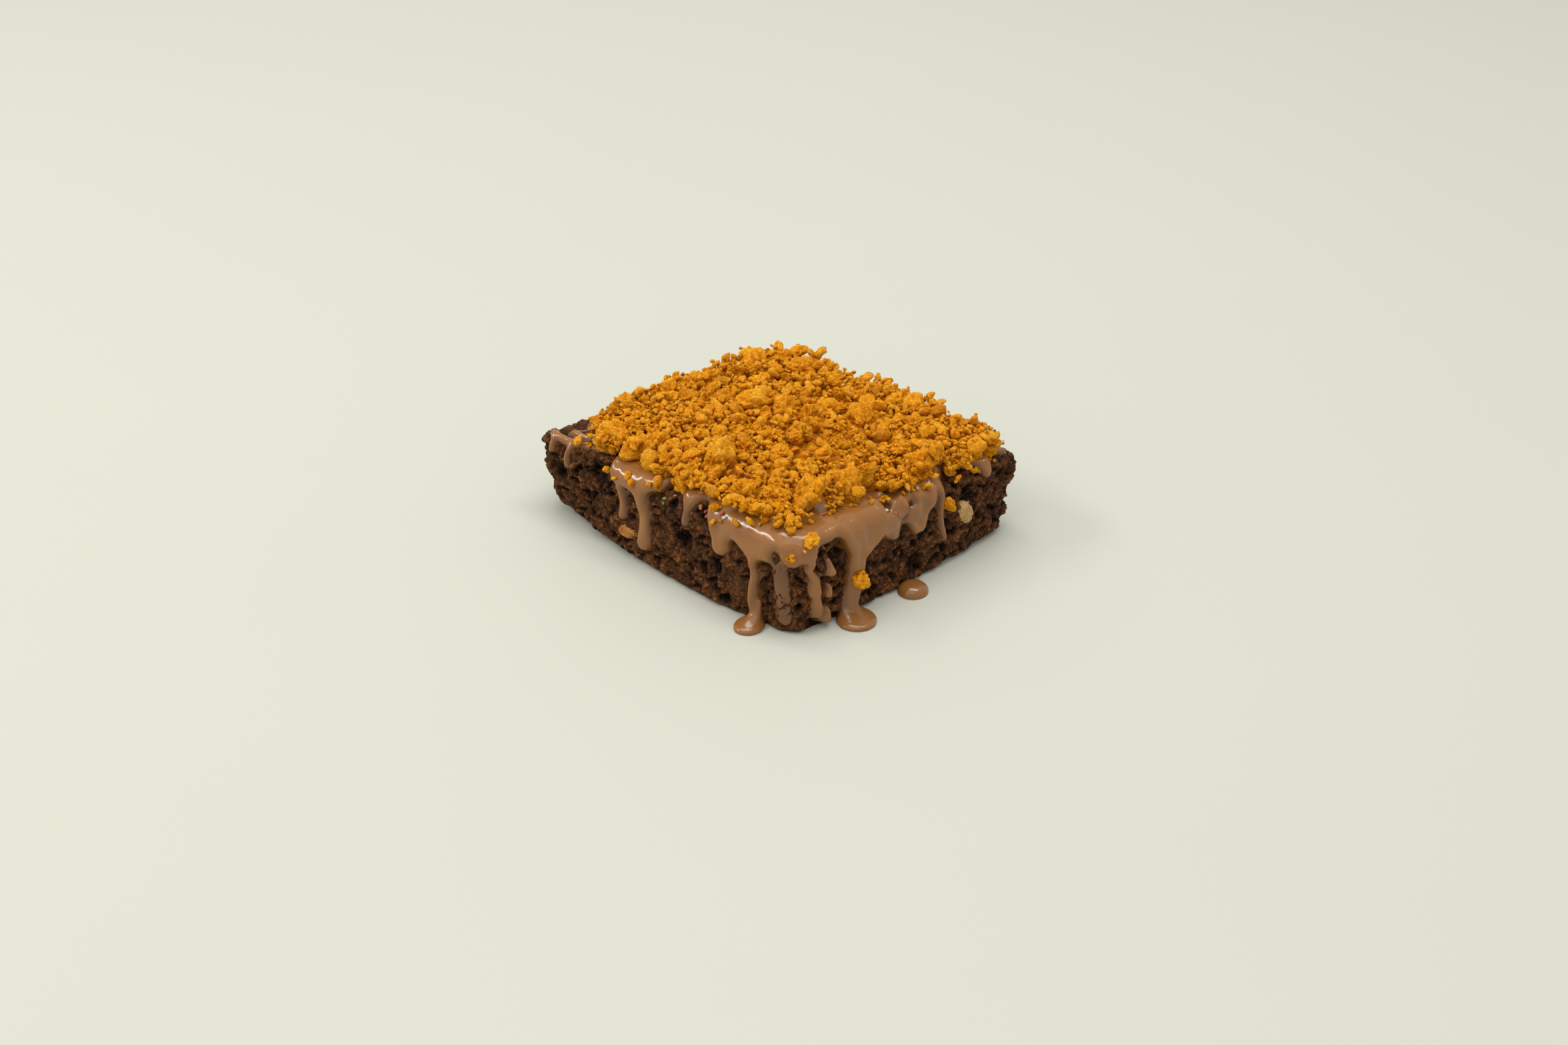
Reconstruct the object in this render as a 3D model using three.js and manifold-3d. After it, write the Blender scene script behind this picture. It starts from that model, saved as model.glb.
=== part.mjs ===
// A hand-cut square of chocolate brownie, with milk chocolate sauce poured over it and a heap of
// broken biscuit on top.
//
// Millimetres, +Z up. The square lies flat on z = 0. Its long front side faces -Y, and the corner
// where the sauce runs over most thickly points to +X -Y. A place on its rim is one number, "turn":
// 0 to 1 runs along the -Y side, 1 to 2 along +X, 2 to 3 along +Y and 3 to 4 along -X, so that a
// whole number is a corner. Drips, lobes, pits and crumbs are all placed by it.

import * as THREE from "three";
import { mergeVertices } from "three/addons/utils/BufferGeometryUtils.js";
import Module from "manifold-3d";

const wasm = await Module();
wasm.setup();

// Driving dimensions
const SIDE = 78;
const HEIGHT = 21;
const RIM_RADIUS = 3.2;
const FOOT_RADIUS = 1.6;
const SAUCE_DEPTH = 1.4;
const HEAP_DEPTH = 3.4;
const CLEARANCE = 0.3;
const CRUMB_LARGE = 5.4;
const CRUMB_SMALL = 2.0;
const CRUMB_COUNT = 100;

// What the knife left: how far each corner is from the true square, at the top and at the foot, how
// much higher it stands than HEIGHT, how far its foot curls up off the table, and how far the foot of
// the side after it bows out.
const CORNERS = [
  { square: [-1, -1], top: [-7.1, -0.1], foot: [-2.5, 2.5], rise: -1.4, curl: 2.4, bow: 4.0 },
  { square: [1, -1], top: [-2.0, 6.0], foot: [0.2, 4.6], rise: 2.4, curl: 0, bow: 2.2 },
  { square: [1, 1], top: [3.3, 4.2], foot: [1.6, 1.2], rise: -0.6, curl: 0, bow: 1.0 },
  { square: [-1, 1], top: [3.7, -6.0], foot: [3.5, -7.5], rise: 0.2, curl: 0, bow: 1.6 },
].map((c) => {
  const square = new THREE.Vector2(...c.square).multiplyScalar(SIDE / 2);
  return {
    top: square.clone().add(new THREE.Vector2(...c.top)),
    foot: square.clone().add(new THREE.Vector2(...c.foot)),
    height: HEIGHT + c.rise,
    curl: c.curl,
    bow: c.bow,
  };
});
const CORNER_SHARE = 0.07; // share of a side that its rounded corner takes
const CROWN = 0.8; // how much the middle of the top stands above its corners

// Going round and over the rim
const TURNS = 4;
const wrap = (turn) => ((turn % TURNS) + TURNS) % TURNS;
const RIM_ARC = (RIM_RADIUS * Math.PI) / 2;
const TO_MIDDLE = 33; // from the start of the rim's round to the middle of the top

// Seeded random draws, and a smooth random field built on the same hash
const SEED = 20417;

function hash(x, y, z) {
  let h = Math.imul(x, 374761393) ^ Math.imul(y, 668265263) ^ Math.imul(z, 1274126177) ^ SEED;
  h = Math.imul(h ^ (h >>> 15), 2246822519);
  h = Math.imul(h ^ (h >>> 13), 3266489917);
  return ((h ^ (h >>> 16)) >>> 0) / 4294967295;
}

function field(point, grain) {
  const [x, y, z] = point.toArray().map((v) => v / grain);
  const [i, j, k] = [x, y, z].map(Math.floor);
  const ease = (v) => v * v * (3 - 2 * v);
  const [a, b, c] = [ease(x - i), ease(y - j), ease(z - k)];
  const mix = THREE.MathUtils.lerp;
  const edge = (dj, dk) => mix(hash(i, j + dj, k + dk), hash(i + 1, j + dj, k + dk), a);
  return 2 * mix(mix(edge(0, 0), edge(1, 0), b), mix(edge(0, 1), edge(1, 1), b), c) - 1;
}

function randomDraws(stream) {
  let n = 0;
  return (low, high) => low + (high - low) * hash(n++, stream, 7);
}

// Geometry to manifold solid and back
function solidFrom(geometry) {
  geometry.deleteAttribute("normal");
  geometry.deleteAttribute("uv");
  const merged = mergeVertices(geometry, 1e-4);
  return new wasm.Manifold(
    new wasm.Mesh({
      numProp: 3,
      vertProperties: new Float32Array(merged.attributes.position.array),
      triVerts: new Uint32Array(merged.index.array),
    }),
  );
}

function geometryFrom(solid) {
  const mesh = solid.getMesh();
  const geometry = new THREE.BufferGeometry();
  geometry.setAttribute("position", new THREE.BufferAttribute(mesh.vertProperties, 3));
  geometry.setIndex(new THREE.BufferAttribute(mesh.triVerts, 1));
  const faceted = geometry.toNonIndexed();
  faceted.computeVertexNormals();
  return faceted;
}

function largestBody(solid) {
  return solid.decompose().sort((a, b) => b.volume() - a.volume())[0];
}

// A closed skin over rings of equal length, shut by one point at each end. Rings run anticlockwise
// as seen from the last one.
function solidOfRings(first, rings, last) {
  const n = rings[0].length;
  const points = [first, ...rings.flat(), last];
  const at = (ring, j) => 1 + ring * n + (j % n);
  const faces = [];
  for (let j = 0; j < n; j++) faces.push(0, at(0, j + 1), at(0, j));
  for (let r = 0; r + 1 < rings.length; r++) {
    for (let j = 0; j < n; j++) {
      faces.push(at(r, j), at(r, j + 1), at(r + 1, j + 1));
      faces.push(at(r, j), at(r + 1, j + 1), at(r + 1, j));
    }
  }
  const top = rings.length - 1;
  for (let j = 0; j < n; j++) faces.push(at(top, j), at(top, j + 1), points.length - 1);
  const geometry = new THREE.BufferGeometry().setFromPoints(points);
  geometry.setIndex(faces);
  return solidFrom(geometry);
}

function ring(count, pointAt) {
  return Array.from({ length: count }, (_, j) => pointAt((TURNS * j) / count));
}

// The outline at a level, 0 at the foot and 1 at the top, with its corners rounded
function outline(turn, level) {
  const corner = (i) => CORNERS[wrap(i)].foot.clone().lerp(CORNERS[wrap(i)].top, level);
  const nearest = Math.round(turn);
  const s = (turn - nearest) / CORNER_SHARE;
  let point, along;
  if (Math.abs(s) < 1) {
    const before = corner(nearest).sub(corner(nearest - 1));
    const after = corner(nearest + 1).sub(corner(nearest));
    point = corner(nearest)
      .addScaledVector(before, (-CORNER_SHARE * (1 - s) ** 2) / 4)
      .addScaledVector(after, (CORNER_SHARE * (1 + s) ** 2) / 4);
    along = before.multiplyScalar((1 - s) / 2).addScaledVector(after, (1 + s) / 2);
  } else {
    const i = Math.floor(turn);
    along = corner(i + 1).sub(corner(i));
    point = corner(i).addScaledVector(along, turn - i);
  }
  along.normalize();
  const outward = new THREE.Vector2(along.y, -along.x);
  const share = turn - Math.floor(turn);
  const bow = CORNERS[wrap(Math.floor(turn))].bow * (1 - level);
  point.addScaledVector(outward, 4 * bow * share * (1 - share));
  return { point, along, outward };
}

// A value known at the corners, mixed for a place in plan
function mixCorners(point, value) {
  const [u, v] = [point.x, point.y].map((c) => THREE.MathUtils.clamp(c / SIDE + 0.5, 0, 1));
  const [c0, c1, c2, c3] = CORNERS.map(value);
  const mixed = (c0 * (1 - u) + c1 * u) * (1 - v) + (c3 * (1 - u) + c2 * u) * v;
  return { mixed, middle: 16 * u * (1 - u) * v * (1 - v) };
}

function topHeight(point) {
  const { mixed, middle } = mixCorners(point, (c) => c.height);
  return mixed + CROWN * middle;
}

// Only the first corner curls up, and only close to its tip
function footHeight(point) {
  const { curl } = CORNERS[0];
  return curl * (mixCorners(point, (c) => c.curl).mixed / curl) ** 3;
}

// A point of the brownie's skin. "run" is the way travelled outwards over the rim: negative on the
// top, 0 where the rim's round starts, then over the round, down the side, and out along the table.
function skin(turn, run, lift = 0) {
  const rim = outline(turn, 1);
  const start = rim.point.clone().addScaledVector(rim.outward, -RIM_RADIUS);
  const out = (v, z) => new THREE.Vector3(v.x, v.y, z);
  const along = out(rim.along, 0);
  if (run <= 0) {
    const plan = start.lerp(new THREE.Vector2(), Math.min(-run / TO_MIDDLE, 1));
    const normal = new THREE.Vector3(0, 0, 1);
    return { point: out(plan, topHeight(plan) + lift), normal, along };
  }
  const height = topHeight(start);
  if (run <= RIM_ARC) {
    const angle = run / RIM_RADIUS;
    const normal = out(rim.outward.clone().multiplyScalar(Math.sin(angle)), Math.cos(angle));
    const centre = out(start, height - RIM_RADIUS);
    return { point: centre.addScaledVector(normal, RIM_RADIUS + lift), normal, along };
  }
  const z = height - RIM_RADIUS - (run - RIM_ARC);
  const side = outline(turn, Math.max(z, 0) / height);
  const spread = lift + Math.max(-z, 0);
  const normal = z > 0 ? out(side.outward, 0) : new THREE.Vector3(0, 0, 1);
  const point = out(side.point.addScaledVector(side.outward, spread), Math.max(z, 0));
  return { point, normal, along };
}

// The run that brings a drip's tip down to a height above the table
function runDownTo(turn, z) {
  const rim = outline(turn, 1);
  const start = rim.point.addScaledVector(rim.outward, -RIM_RADIUS);
  return RIM_ARC + topHeight(start) - RIM_RADIUS - z;
}

// The brownie: a craggy crumb on the cut sides, with a few pits
const SLAB_POINTS = 84;
const SIDE_RINGS = 7;
const CRAGS = [
  { grain: 6, depth: 0.85 },
  { grain: 2.9, depth: 0.6 },
];
const PITS = [
  { turn: 0.1, z: 12.5, radius: 3.2, depth: 1.6 },
  { turn: 0.6, z: 11.5, radius: 3.0, depth: 2.0 },
  { turn: 0.27, z: 16.5, radius: 3.0, depth: 1.4 },
  { turn: 1.14, z: 17.0, radius: 3.0, depth: 1.6 },
  { turn: 1.51, z: 4.8, radius: 3.2, depth: 1.6 },
  { turn: 1.74, z: 16.0, radius: 3.4, depth: 1.5 },
  { turn: 2.35, z: 12.0, radius: 3.2, depth: 1.6 },
  { turn: 2.8, z: 6.5, radius: 3.0, depth: 1.4 },
  { turn: 3.3, z: 9.0, radius: 3.2, depth: 1.6 },
  { turn: 3.65, z: 14.0, radius: 3.0, depth: 1.4 },
].map((p) => ({ ...p, centre: skin(p.turn, runDownTo(p.turn, p.z)).point }));

function crag(point) {
  const rough = CRAGS.reduce((sum, c) => sum + c.depth * field(point, c.grain), 0);
  const pitted = PITS.reduce((sum, p) => {
    const away = point.distanceTo(p.centre) / p.radius;
    return sum + p.depth * Math.max(0, 1 - away * away);
  }, 0);
  return rough - pitted;
}

// grow makes it that much larger all over
function slab(grow = 0) {
  const relief = (turn, run, share) => {
    const flat = skin(turn, run);
    return skin(turn, run, share * crag(flat.point) + grow).point;
  };
  const sideRing = (share) =>
    ring(SLAB_POINTS, (turn) => {
      const foot = footHeight(outline(turn, 0).point) + FOOT_RADIUS;
      const lowest = runDownTo(turn, foot);
      return relief(turn, THREE.MathUtils.lerp(lowest, RIM_ARC, share), 1);
    });
  const footRing = (inset) =>
    ring(SLAB_POINTS, (turn) => {
      const { point, outward } = outline(turn, 0);
      const z = footHeight(point);
      point.addScaledVector(outward, grow - inset);
      return new THREE.Vector3(point.x, point.y, inset > FOOT_RADIUS ? -grow : z - grow);
    });
  const shares = Array.from({ length: SIDE_RINGS }, (_, i) => i / (SIDE_RINGS - 1));
  const rings = [
    footRing(10 * FOOT_RADIUS),
    footRing(FOOT_RADIUS),
    ...shares.map(sideRing),
    ring(SLAB_POINTS, (turn) => relief(turn, RIM_ARC / 2, 0.6)),
    ring(SLAB_POINTS, (turn) => relief(turn, 0, 0.15)),
    ring(SLAB_POINTS, (turn) => relief(turn, -0.4 * TO_MIDDLE, 0)),
  ];
  const middle = topHeight(new THREE.Vector2()) + grow;
  return solidOfRings(new THREE.Vector3(0, 0, -grow), rings, new THREE.Vector3(0, 0, middle));
}

// Eases between [turn, value] pairs all the way round the rim
function around(table, turn) {
  const place = wrap(turn);
  const passed = table.filter(([at]) => at <= place);
  const [from, low] = passed[passed.length - 1];
  const [to, high] = table[passed.length] ?? [TURNS, table[0][1]];
  return THREE.MathUtils.lerp(low, high, THREE.MathUtils.smoothstep(place, from, to));
}

// The sauce: a poured sheet on the top, which runs over the rim where its reach is positive
const SHEET_POINTS = 84;
const SHEET_REACH = [
  [0, -1], [0.15, -1], [0.28, -3], [0.33, 4], [0.38, 5.5], [0.49, 5], [0.54, -1], [0.61, 3], [0.66, 1],
  [0.72, 7], [0.82, 8], [0.92, 9], [0.98, 8], [1.05, 5], [1.12, 3], [1.2, 6], [1.29, 10], [1.36, 8],
  [1.43, 6], [1.5, 8], [1.57, 4], [1.61, 1], [1.72, -3], [1.82, 1], [1.9, -2], [1.98, 0.5],
  [2.1, -3], [2.3, 3], [2.42, -2], [2.6, 4], [2.8, -2], [3.0, 1], [3.2, 4], [3.4, -2], [3.6, 4],
  [3.85, -2],
];

function sauceSheet() {
  const atShare = (share, lift) =>
    ring(SHEET_POINTS, (turn) => {
      const reach = around(SHEET_REACH, turn);
      return skin(turn, THREE.MathUtils.lerp(-TO_MIDDLE, reach, share), lift).point;
    });
  const full = CLEARANCE + SAUCE_DEPTH;
  const under = -SAUCE_DEPTH;
  const rings = [
    atShare(0.99, under),
    atShare(1, 0.4 * full),
    atShare(0.96, 0.9 * full),
    atShare(0.85, full),
    atShare(0.5, full),
  ];
  const middle = topHeight(new THREE.Vector2());
  return solidOfRings(
    new THREE.Vector3(0, 0, middle + under),
    rings,
    new THREE.Vector3(0, 0, middle + full),
  );
}

// Drips: half widths at the rim, the neck and the bead at the tip, how far the drip strays along the
// side on its way down, and the radius of the puddle it ends in, if it gets that far
const DRIPS = [
  { turn: 0.08, tip: 16.8, rim: 1.3, neck: 0.9, bead: 1.1, depth: 0.9, drift: 0.01 },
  { turn: 0.14, tip: 15.4, rim: 1.7, neck: 1.0, bead: 1.3, depth: 0.9, drift: 0 },
  { turn: 0.35, tip: 8.6, rim: 2.4, neck: 1.1, bead: 1.3, depth: 1.2, drift: 0 },
  { turn: 0.43, tip: 3.8, rim: 3.0, neck: 1.6, bead: 2.0, depth: 1.4, drift: 0.01 },
  { turn: 0.61, tip: 15.0, rim: 1.8, neck: 0.9, bead: 1.2, depth: 1.1, drift: 0 },
  { turn: 0.74, tip: 12.4, rim: 4.0, neck: 3.2, bead: 2.6, depth: 1.4, drift: 0 },
  { turn: 0.85, tip: 0, rim: 5.0, neck: 1.7, bead: 2.2, depth: 1.6, drift: 0.02, puddle: 4.4 },
  { turn: 0.945, tip: 1.6, rim: 2.6, neck: 1.6, bead: 1.4, depth: 1.1, drift: 0.01 },
  { turn: 1.045, tip: 2.6, rim: 2.4, neck: 1.5, bead: 1.8, depth: 1.4, drift: 0.03 },
  { turn: 1.265, tip: 0, rim: 5.6, neck: 2.6, bead: 3.0, depth: 1.7, drift: -0.05, puddle: 5.2 },
  { turn: 1.41, tip: 13.5, rim: 3.2, neck: 2.6, bead: 2.4, depth: 1.4, drift: 0 },
  { turn: 1.52, tip: 11.6, rim: 4.0, neck: 3.2, bead: 2.8, depth: 1.6, drift: 0 },
  { turn: 1.605, tip: 7.0, rim: 1.4, neck: 0.9, bead: 1.1, depth: 1.1, drift: 0.03 },
  { turn: 1.82, tip: 18.2, rim: 1.9, neck: 1.3, bead: 1.4, depth: 1.0, drift: 0 },
  { turn: 2.3, tip: 8.5, rim: 2.8, neck: 1.5, bead: 1.8, depth: 1.3, drift: 0.01 },
  { turn: 2.62, tip: 3.0, rim: 3.2, neck: 1.6, bead: 2.1, depth: 1.4, drift: -0.02 },
  { turn: 3.3, tip: 6.0, rim: 3.0, neck: 1.5, bead: 1.9, depth: 1.3, drift: 0.02 },
];
const DRIP_SIDES = 6;
const DRIP_STEPS = 7;
const NARROWS = [0.15, 0.5]; // shares of its length over which a drip narrows to its neck
const WIDENS = [0.6, 0.86]; // and then widens to its bead, after which it rounds off
const DRIP_SWAY = 0.005; // of a turn
const DRIP_START = -3; // on the top, under the sheet's own surface
const PUDDLE_SIDES = 14;
const PUDDLE_DEPTH = 2.4;
const SWELLING = { radius: 0.6, depth: 2.2, reach: 0.2 }; // as shares of the puddle's own

function dripShape(drip, share) {
  const { lerp, smoothstep } = THREE.MathUtils;
  const narrowing = lerp(drip.rim, drip.neck, smoothstep(share, ...NARROWS));
  const width = lerp(narrowing, drip.bead, smoothstep(share, ...WIDENS));
  const round = Math.sqrt(1 - Math.max(0, (share - WIDENS[1]) / (1 - WIDENS[1])) ** 2);
  return { width: width * Math.max(round, 0.2), depth: drip.depth * Math.max(round, 0.3) };
}

function dripTurn(drip, share) {
  return drip.turn + drip.drift * share + DRIP_SWAY * Math.sin(5 * share + 9 * drip.turn);
}

function dripSolid(drip) {
  const end = runDownTo(drip.turn, drip.tip);
  const section = (share) => {
    const { width, depth } = dripShape(drip, share);
    const run = THREE.MathUtils.lerp(DRIP_START, end, share);
    const { point, normal, along } = skin(dripTurn(drip, share), run);
    return Array.from({ length: DRIP_SIDES }, (_, j) => {
      const angle = (2 * Math.PI * j) / DRIP_SIDES;
      return point
        .clone()
        .addScaledVector(along, width * Math.cos(angle))
        .addScaledVector(normal, depth * Math.sin(angle));
    });
  };
  const shares = Array.from({ length: DRIP_STEPS }, (_, i) => (i + 0.3) / (DRIP_STEPS - 0.3));
  const last = skin(dripTurn(drip, 1), end).point;
  return solidOfRings(skin(dripTurn(drip, 0), DRIP_START).point, shares.map(section), last);
}

// A flat bead on the table, touching the foot of the side
function bead(turn, radius, depth, reach = 0.75 * radius) {
  const { point } = skin(turn, runDownTo(turn, -reach));
  const dome = new THREE.SphereGeometry(radius, PUDDLE_SIDES, 7);
  return solidFrom(dome.scale(1, 1, depth / radius).translate(point.x, point.y, 0));
}

// A puddle, with the swelling where the drip runs down into it
function puddleSolids(drip) {
  const turn = dripTurn(drip, 1);
  const { radius, depth, reach } = SWELLING;
  return [
    bead(turn, drip.puddle, PUDDLE_DEPTH),
    bead(turn, radius * drip.puddle, depth * PUDDLE_DEPTH, reach * drip.puddle),
  ];
}

// Crumbs that stick to the sauce below the rim
const STUCK_CRUMBS = [
  { turn: 1.23, z: 5.6, radius: 2.4 },
  { turn: 1.03, z: 19.6, radius: 1.6 },
  { turn: 0.955, z: 15.5, radius: 1.2 },
  { turn: 1.65, z: 13.6, radius: 1.8 },
];

// A biscuit crumb: a lump of 20 faces with its corners pushed in and out
function crumb(centre, radius, draw) {
  const lump = new THREE.IcosahedronGeometry(1, 0);
  lump.deleteAttribute("normal");
  lump.deleteAttribute("uv");
  const merged = mergeVertices(lump, 1e-4);
  const position = merged.attributes.position;
  const corner = new THREE.Vector3();
  for (let i = 0; i < position.count; i++) {
    corner.fromBufferAttribute(position, i).multiplyScalar(draw(0.8, 1.2));
    position.setXYZ(i, ...corner);
  }
  merged.rotateX(draw(0, Math.PI)).rotateZ(draw(0, 2 * Math.PI));
  merged.scale(radius * draw(0.85, 1.15), radius * draw(0.85, 1.15), radius * draw(0.7, 0.9));
  merged.translate(...centre);
  return solidFrom(merged);
}

function cutToTable(solid) {
  const table = new THREE.BoxGeometry(3 * SIDE, 3 * SIDE, SIDE).translate(0, 0, -SIDE / 2);
  return solid.subtract(slab(CLEARANCE)).subtract(solidFrom(table));
}

function sauce() {
  const draw = randomDraws(1);
  const stuck = STUCK_CRUMBS.map(({ turn, z, radius }) => {
    const { point } = skin(turn, runDownTo(turn, z), SAUCE_DEPTH);
    return crumb(point, radius, draw);
  });
  const puddles = DRIPS.filter((d) => d.puddle).flatMap(puddleSolids);
  const poured = [sauceSheet(), ...DRIPS.map(dripSolid), ...puddles, ...stuck];
  return largestBody(cutToTable(wasm.Manifold.union(poured)));
}

// A single drop of sauce on the table, against the foot of the +X side
const DROP = { turn: 1.465, radius: 3.6, depth: 2.4 };

function drop() {
  return largestBody(cutToTable(bead(DROP.turn, DROP.radius, DROP.depth)));
}

// Chunks baked into the crumb and cut through by the knife, each in a pocket of its own
const CHUNKS = [
  { name: "nut_chunk", turn: 1.745, z: 11, size: [3.0, 2.6, 3.0], sunk: 1.3 },
  { name: "toffee_chunk", turn: 0.36, z: 5.8, size: [3.4, 2.4, 2.0], sunk: 1.2 },
];

function chunk({ turn, z, size, sunk }, grow = 0) {
  const { point, along } = skin(turn, runDownTo(turn, z), -sunk);
  const lump = new THREE.IcosahedronGeometry(1, 1);
  lump.scale(...size.map((s) => s + grow));
  lump.rotateZ(Math.atan2(along.y, along.x)).translate(...point);
  return solidFrom(lump);
}

// The crumb heap: a low bed out to its uneven edge, with the crumbs that show fused on
const BED_POINTS = 44;
const BED_INSET = 2.4;
const BED_LUMPS = 1.2;
const CUT_POINTS = 36;
const HEAP_LIFT = SAUCE_DEPTH + 3 * CLEARANCE; // of its underside over the brownie's skin
const HEAP_REACH = [
  [0, -11], [0.12, -6], [0.2, 0], [0.3, 1.5], [0.42, 0], [0.5, 2], [0.62, 1], [0.82, 1.5], [0.92, -1],
  [1.0, -6], [1.1, -4.5], [1.25, -4], [1.35, -1], [1.5, -0.5], [1.65, 0], [1.85, 0], [2.0, -3.5],
  [2.15, 0.5], [2.4, 1.5], [2.6, 0.5], [2.85, 1], [3.0, -1], [3.2, 1.5], [3.4, 0.5], [3.6, 2],
  [3.8, 1], [3.92, -4],
];

function crumbBed() {
  const atShare = (share, lift) =>
    ring(BED_POINTS, (turn) => {
      const reach = around(HEAP_REACH, turn) - BED_INSET;
      const { point } = skin(turn, THREE.MathUtils.lerp(-TO_MIDDLE, reach, share), lift);
      return point.setZ(point.z + BED_LUMPS * field(point, CRUMB_LARGE));
    });
  const rings = [
    atShare(0.99, HEAP_LIFT),
    atShare(1, HEAP_LIFT + 0.35 * HEAP_DEPTH),
    atShare(0.93, HEAP_LIFT + 0.8 * HEAP_DEPTH),
    atShare(0.6, HEAP_LIFT + HEAP_DEPTH),
  ];
  const middle = topHeight(new THREE.Vector2()) + HEAP_LIFT;
  return solidOfRings(
    new THREE.Vector3(0, 0, middle),
    rings,
    new THREE.Vector3(0, 0, middle + HEAP_DEPTH),
  );
}

// Largest first, each where it finds most room among those already laid
function layCrumbs(draw) {
  const laid = [];
  for (let i = 0; i < CRUMB_COUNT; i++) {
    const share = 1 - i / CRUMB_COUNT;
    const radius = CRUMB_SMALL + (CRUMB_LARGE - CRUMB_SMALL) * share ** 2.6;
    let best = null;
    for (let tries = 0; tries < 24; tries++) {
      const turn = draw(0, TURNS);
      const out = Math.sqrt(draw(0, 1));
      const run = THREE.MathUtils.lerp(-TO_MIDDLE, around(HEAP_REACH, turn) - 0.4 * radius, out);
      const sunk = THREE.MathUtils.lerp(1, 0.4, THREE.MathUtils.smoothstep(out, 0.8, 1));
      const { point } = skin(turn, run, HEAP_LIFT + HEAP_DEPTH * sunk);
      const room = Math.min(...laid.map((c) => c.point.distanceTo(point) - c.radius), SIDE);
      if (!best || room > best.room) best = { point, radius, room };
    }
    laid.push(best);
  }
  return laid;
}

// What the heap lies on: the sheet's upper skin, in few faces, down to below the lowest crumb
function underHeap() {
  const level = (run, drop = 0) =>
    ring(CUT_POINTS, (turn) => {
      const { point } = skin(turn, run, HEAP_LIFT);
      return point.setZ(point.z - drop);
    });
  const middle = topHeight(new THREE.Vector2()) + HEAP_LIFT;
  const runs = [RIM_ARC / 2, RIM_ARC / 4, 0, -TO_MIDDLE / 2];
  return solidOfRings(
    new THREE.Vector3(0, 0, middle - HEIGHT / 2),
    [level(RIM_ARC / 2, HEIGHT / 2), ...runs.map((run) => level(run))],
    new THREE.Vector3(0, 0, middle),
  );
}

function crumbHeap() {
  const draw = randomDraws(2);
  const crumbs = layCrumbs(draw).map(({ point, radius }) => crumb(point, radius, draw));
  const heap = wasm.Manifold.union([crumbBed(), ...crumbs]);
  return largestBody(heap.subtract(underHeap()));
}

// Materials
const finish = (color, roughness) =>
  new THREE.MeshStandardMaterial({ color, roughness, metalness: 0, flatShading: true });
const BROWNIE = finish(0x3f2819, 0.95);
const SAUCE = finish(0x8a5c3a, 0.25);
const BISCUIT = finish(0xc47a12, 0.9);
const NUT = finish(0xc6b062, 0.7);
const TOFFEE = finish(0x8f5a24, 0.5);

// Assembly
const brownie = new THREE.Group();

function addPiece(name, solid, material) {
  const mesh = new THREE.Mesh(geometryFrom(solid), material);
  mesh.name = name;
  brownie.add(mesh);
}

const pockets = wasm.Manifold.union(CHUNKS.map((c) => chunk(c, CLEARANCE)));
addPiece("brownie_slab", slab().subtract(pockets), BROWNIE);
addPiece("sauce", sauce(), SAUCE);
addPiece("sauce_drop", drop(), SAUCE);
addPiece("crumb_topping", crumbHeap(), BISCUIT);
addPiece(CHUNKS[0].name, chunk(CHUNKS[0]), NUT);
addPiece(CHUNKS[1].name, chunk(CHUNKS[1]), TOFFEE);

// The origin is under the middle of the whole piece, on the table
const extent = new THREE.Box3().setFromObject(brownie);
const centre = extent.getCenter(new THREE.Vector3());
brownie.position.set(-centre.x, -centre.y, -extent.min.z);

export default brownie;
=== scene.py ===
# %% [markdown]
# # A chocolate brownie under sauce and biscuit crumbs
#
# The brownie is one hand-cut square of a dense chocolate cake. Milk chocolate sauce has been poured
# over it, has run down its sides in drips, and stands in puddles at their feet. Broken caramelised
# biscuit is heaped on the sauce.
#
# The solid model is loaded first. It fixes the size and the place of everything. Then each food is
# made in turn, in the order in which a cook would put it on: cake, sauce, biscuit.

import bmesh
import bpy
import numpy as np
from mathutils import Matrix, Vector
from mathutils.bvhtree import BVHTree


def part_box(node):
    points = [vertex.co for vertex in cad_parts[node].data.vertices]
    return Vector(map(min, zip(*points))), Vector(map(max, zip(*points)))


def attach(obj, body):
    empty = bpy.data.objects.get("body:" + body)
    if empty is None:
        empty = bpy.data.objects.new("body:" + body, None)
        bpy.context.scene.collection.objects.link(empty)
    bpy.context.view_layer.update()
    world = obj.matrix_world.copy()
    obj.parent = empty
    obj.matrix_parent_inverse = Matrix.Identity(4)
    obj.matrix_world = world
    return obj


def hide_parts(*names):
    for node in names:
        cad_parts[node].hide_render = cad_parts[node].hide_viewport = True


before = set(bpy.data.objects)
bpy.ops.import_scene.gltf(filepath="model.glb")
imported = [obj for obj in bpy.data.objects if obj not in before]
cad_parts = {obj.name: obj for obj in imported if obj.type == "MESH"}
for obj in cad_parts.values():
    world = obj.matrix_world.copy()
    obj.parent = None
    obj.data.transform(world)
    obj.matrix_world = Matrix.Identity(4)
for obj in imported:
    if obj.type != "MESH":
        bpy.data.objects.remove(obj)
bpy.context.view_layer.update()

MM = 0.001

# %% [markdown]
# ## The skin that everything follows
#
# The cake's shape is a square with a worn edge: four corners at the top, four at the foot, and a
# small round over the rim. Two numbers find any place on it. "Turn" goes round the rim, one whole
# number for each corner. "Run" goes over the rim, in millimetres: negative on the top, then over the
# round and down the side. A drip of sauce follows the same way as the run, so the same two numbers
# also place the sauce and the crumbs. The alternative, sculpting each food separately in space,
# would leave gaps wherever two foods should touch.

# %% The square, its rim and its sides, in millimetres
SIDE = 78.0
HEIGHT = 21.0
RIM_RADIUS = 3.2
FOOT_RADIUS = 1.6
CORNER_SHARE = 0.07
CROWN = 0.8
TO_MIDDLE = 33.0
TURNS = 4
RIM_ARC = RIM_RADIUS * np.pi / 2

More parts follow.
